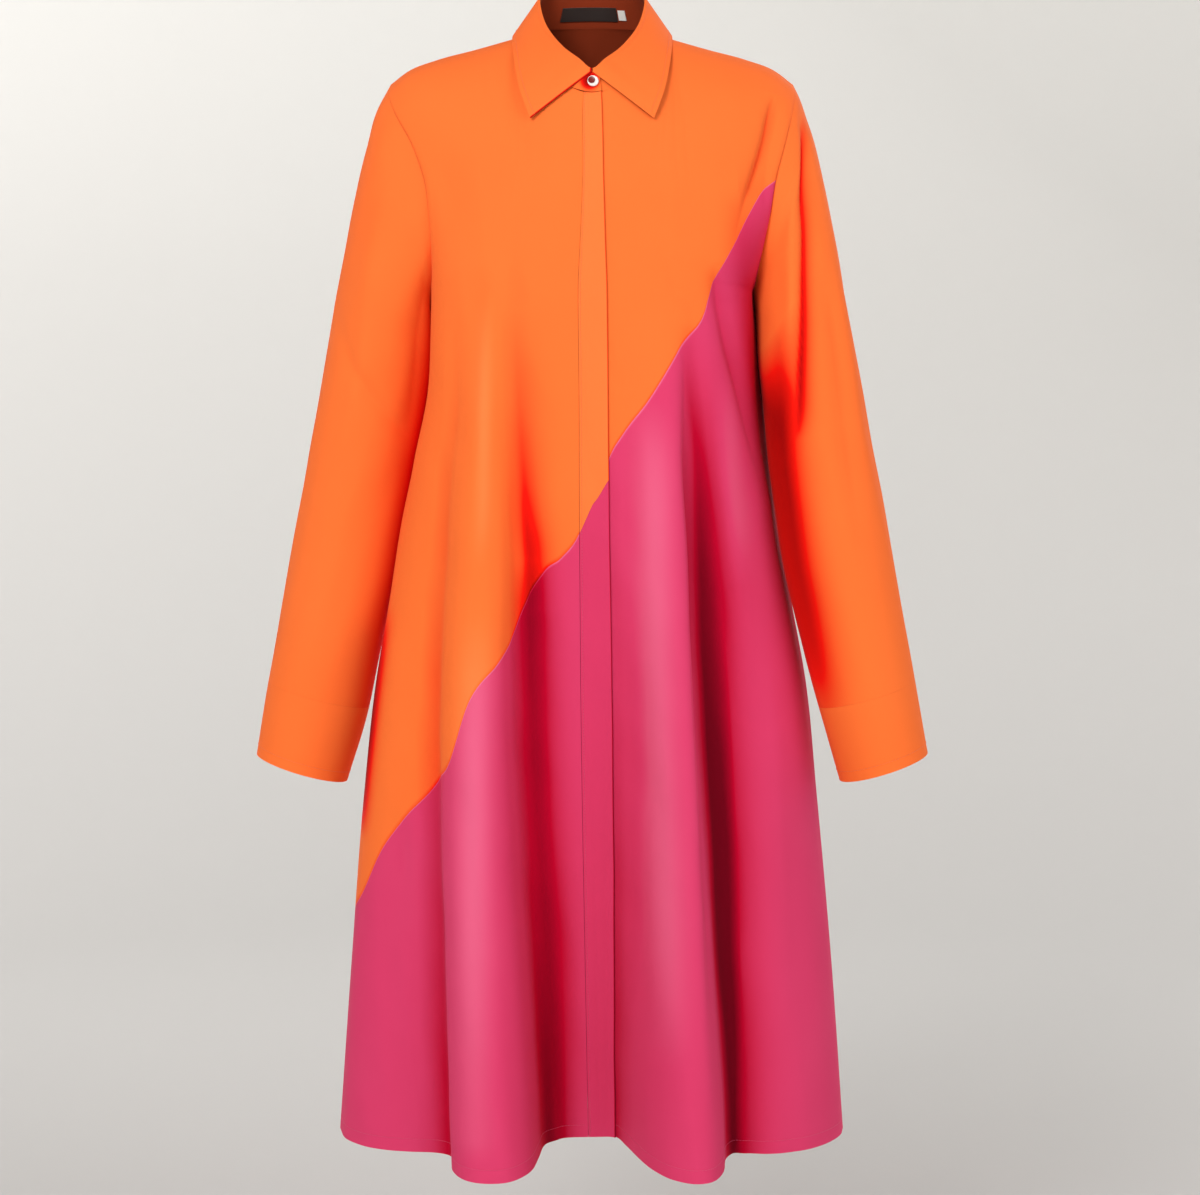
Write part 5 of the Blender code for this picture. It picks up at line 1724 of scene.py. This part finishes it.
def turned_mesh(name, profile, radius, corners=64, slide=(0.0, 0.0)):
    """A profile of (share of the radius, height) turned round the Z axis. A slide moves its middle
    sideways by so many shares of the radius, and its rim not at all."""
    mesh = bpy.data.meshes.new(name)
    shape = bmesh.new()
    rings = []
    for share, height in profile:
        x, y = (radius * (1 - share) * by for by in slide)
        if share == 0:
            rings.append([shape.verts.new((x, y, height))])
            continue
        angles = [2 * math.pi * i / corners for i in range(corners)]
        reach = share * radius
        rings.append(
            [shape.verts.new((x + reach * math.cos(a), y + reach * math.sin(a), height)) for a in angles]
        )
    for first, last in zip(rings[:-1], rings[1:]):
        for i in range(corners):
            j = (i + 1) % corners
            if len(first) == 1:
                shape.faces.new((first[0], last[j], last[i]))
            elif len(last) == 1:
                shape.faces.new((first[i], first[j], last[0]))
            else:
                shape.faces.new((first[i], first[j], last[j], last[i]))
    shape.to_mesh(mesh)
    shape.free()
    mesh.shade_smooth()
    return mesh


class DRESS_OT_labels(bpy.types.Operator):
    """Sews the bare label and its tab inside the stand"""

    bl_idname = "shirt_dress.labels"
    bl_label = "Label and tab"

    def execute(self, context):
        inward = WALL / 2 + GAP + LABEL_THICK / 2
        for node, turns, heights, material, slot in (
            ("neck_label", LABEL_TURNS, LABEL_HEIGHTS, "black satin tape", "black_label"),
            ("size_tab", TAB_TURNS, TAB_HEIGHTS, "white satin tape", "white_tab"),
        ):
            stations = collar_station(np.linspace(*turns, LABEL_COLUMNS), True)
            rows = np.linspace(*heights, LABEL_ROWS)
            middle, normal = stand_points(stations, rows, np.zeros(LABEL_COLUMNS))
            middle = middle - normal * inward
            mesh = shell_mesh(f"{node}_cloth", middle, normal, LABEL_THICK * 0.8)
            piece = dress_piece(f"{node}_cloth", mesh, finish(material), [node])
        return {"FINISHED"}


Light = namedtuple("Light", "name power size place target")
CAMERA_LENS = 83.87  # mm
CAMERA_SENSOR = 36.0  # mm
CAMERA_PLACE = (0.007, -2.590, -0.290)
CAMERA_TARGET = (0.007, 0.0, -0.5166)
AIR_STRENGTH = 0.26


def look_at(made, place, target):
    """Puts a light or the camera in its place and turns it to its target."""
    made.location = place
    direction = mathutils.Vector(target) - mathutils.Vector(place)
    made.rotation_euler = direction.to_track_quat("-Z", "Y").to_euler()


class DRESS_OT_stage(bpy.types.Operator):
    """Sets up the backdrop, the soft lights and the camera"""

    bl_idname = "shirt_dress.stage"
    bl_label = "Studio"

    def execute(self, context):
        settings = context.scene.shirt_dress_stage
        scene = context.scene
        mesh = sweep_mesh("studio_backdrop", settings.floor_drop)
        backdrop = bpy.data.objects.new("studio_backdrop", mesh)
        mesh.materials.append(finish("backdrop paper"))
        scene.collection.objects.link(backdrop)
        lights = [
            Light("key", settings.key_power, 1.3, (-1.2, -2.9, 1.35), (0, 0, -0.3)),
            Light("front_fill", settings.fill_power, 2.4, (2.2, -2.3, 0.6), (0, 0, -0.45)),
            Light("back_fill", settings.fill_power * 1.2, 2.0, (1.8, 2.2, 1.0), (0, 0, -0.5)),
            Light("backdrop_wash", settings.wash_power, 1.6, (-1.7, 1.2, 1.0), (-1.0, 3.6, -0.3)),
            Light("backdrop_wash_low", settings.wash_power * 0.12, 1.6, (1.2, 1.4, 0.9), (0.8, 3.6, -0.7)),
        ]
        for light in lights:
            data = bpy.data.lights.new(light.name, "AREA")
            data.energy = light.power
            data.shape = "DISK"
            data.size = light.size
            made = bpy.data.objects.new(light.name, data)
            look_at(made, light.place, light.target)
            scene.collection.objects.link(made)
        world = bpy.data.worlds.new("studio_air")
        world.use_nodes = True
        background = world.node_tree.nodes["Background"]
        background.inputs["Color"].default_value = linear("#F4F3F0")
        background.inputs["Strength"].default_value = AIR_STRENGTH
        scene.world = world
        camera_data = bpy.data.cameras.new("studio_camera")
        camera_data.lens = CAMERA_LENS
        camera_data.sensor_width = CAMERA_SENSOR
        camera = bpy.data.objects.new("studio_camera", camera_data)
        look_at(camera, CAMERA_PLACE, CAMERA_TARGET)
        scene.collection.objects.link(camera)
        scene.camera = camera
        scene.view_settings.view_transform = "Standard"
        return {"FINISHED"}


def sweep_mesh(name, floor):
    """A floor that curves up into a backdrop all round, so that every view has one behind it."""
    radius, bend, height, steps = 3.6, 1.2, 2.6, 12
    profile = [(0.0, floor), (radius - bend, floor)]
    for i in range(1, steps + 1):
        a = math.pi / 2 * i / steps
        profile.append((radius - bend + bend * math.sin(a), floor + bend * (1 - math.cos(a))))
    profile.append((radius, height))
    return turned_mesh(name, [(r / radius, z) for r, z in profile], radius, corners=96)


class DRESS_PT_sidebar(bpy.types.Panel):
    bl_idname = "DRESS_PT_sidebar"
    bl_label = "Shirt dress"
    bl_space_type = "VIEW_3D"
    bl_region_type = "UI"
    bl_category = "Shirt dress"

    def draw(self, context):
        for group in ("shirt_dress_cloth", "shirt_dress_sewing", "shirt_dress_stage"):
            settings = getattr(context.scene, group)
            for name in settings.__annotations__:
                self.layout.prop(settings, name)
        for operator in OPERATORS:
            self.layout.operator(operator.bl_idname)


OPERATORS = (
    DRESS_OT_body,
    DRESS_OT_placket,
    DRESS_OT_sleeves,
    DRESS_OT_collar,
    DRESS_OT_button,
    DRESS_OT_labels,
    DRESS_OT_stage,
)
CLASSES = (ClothSettings, SewingSettings, StageSettings, *OPERATORS, DRESS_PT_sidebar)


def register():
    for made in CLASSES:
        bpy.utils.register_class(made)
    bpy.types.Scene.shirt_dress_cloth = bpy.props.PointerProperty(type=ClothSettings)
    bpy.types.Scene.shirt_dress_sewing = bpy.props.PointerProperty(type=SewingSettings)
    bpy.types.Scene.shirt_dress_stage = bpy.props.PointerProperty(type=StageSettings)


def unregister():
    del bpy.types.Scene.shirt_dress_stage
    del bpy.types.Scene.shirt_dress_sewing
    del bpy.types.Scene.shirt_dress_cloth
    for made in reversed(CLASSES):
        bpy.utils.unregister_class(made)


def main():
    register()
    for operator in OPERATORS:
        group, name = operator.bl_idname.split(".")
        getattr(getattr(bpy.ops, group), name)()


if __name__ == "__main__":
    main()
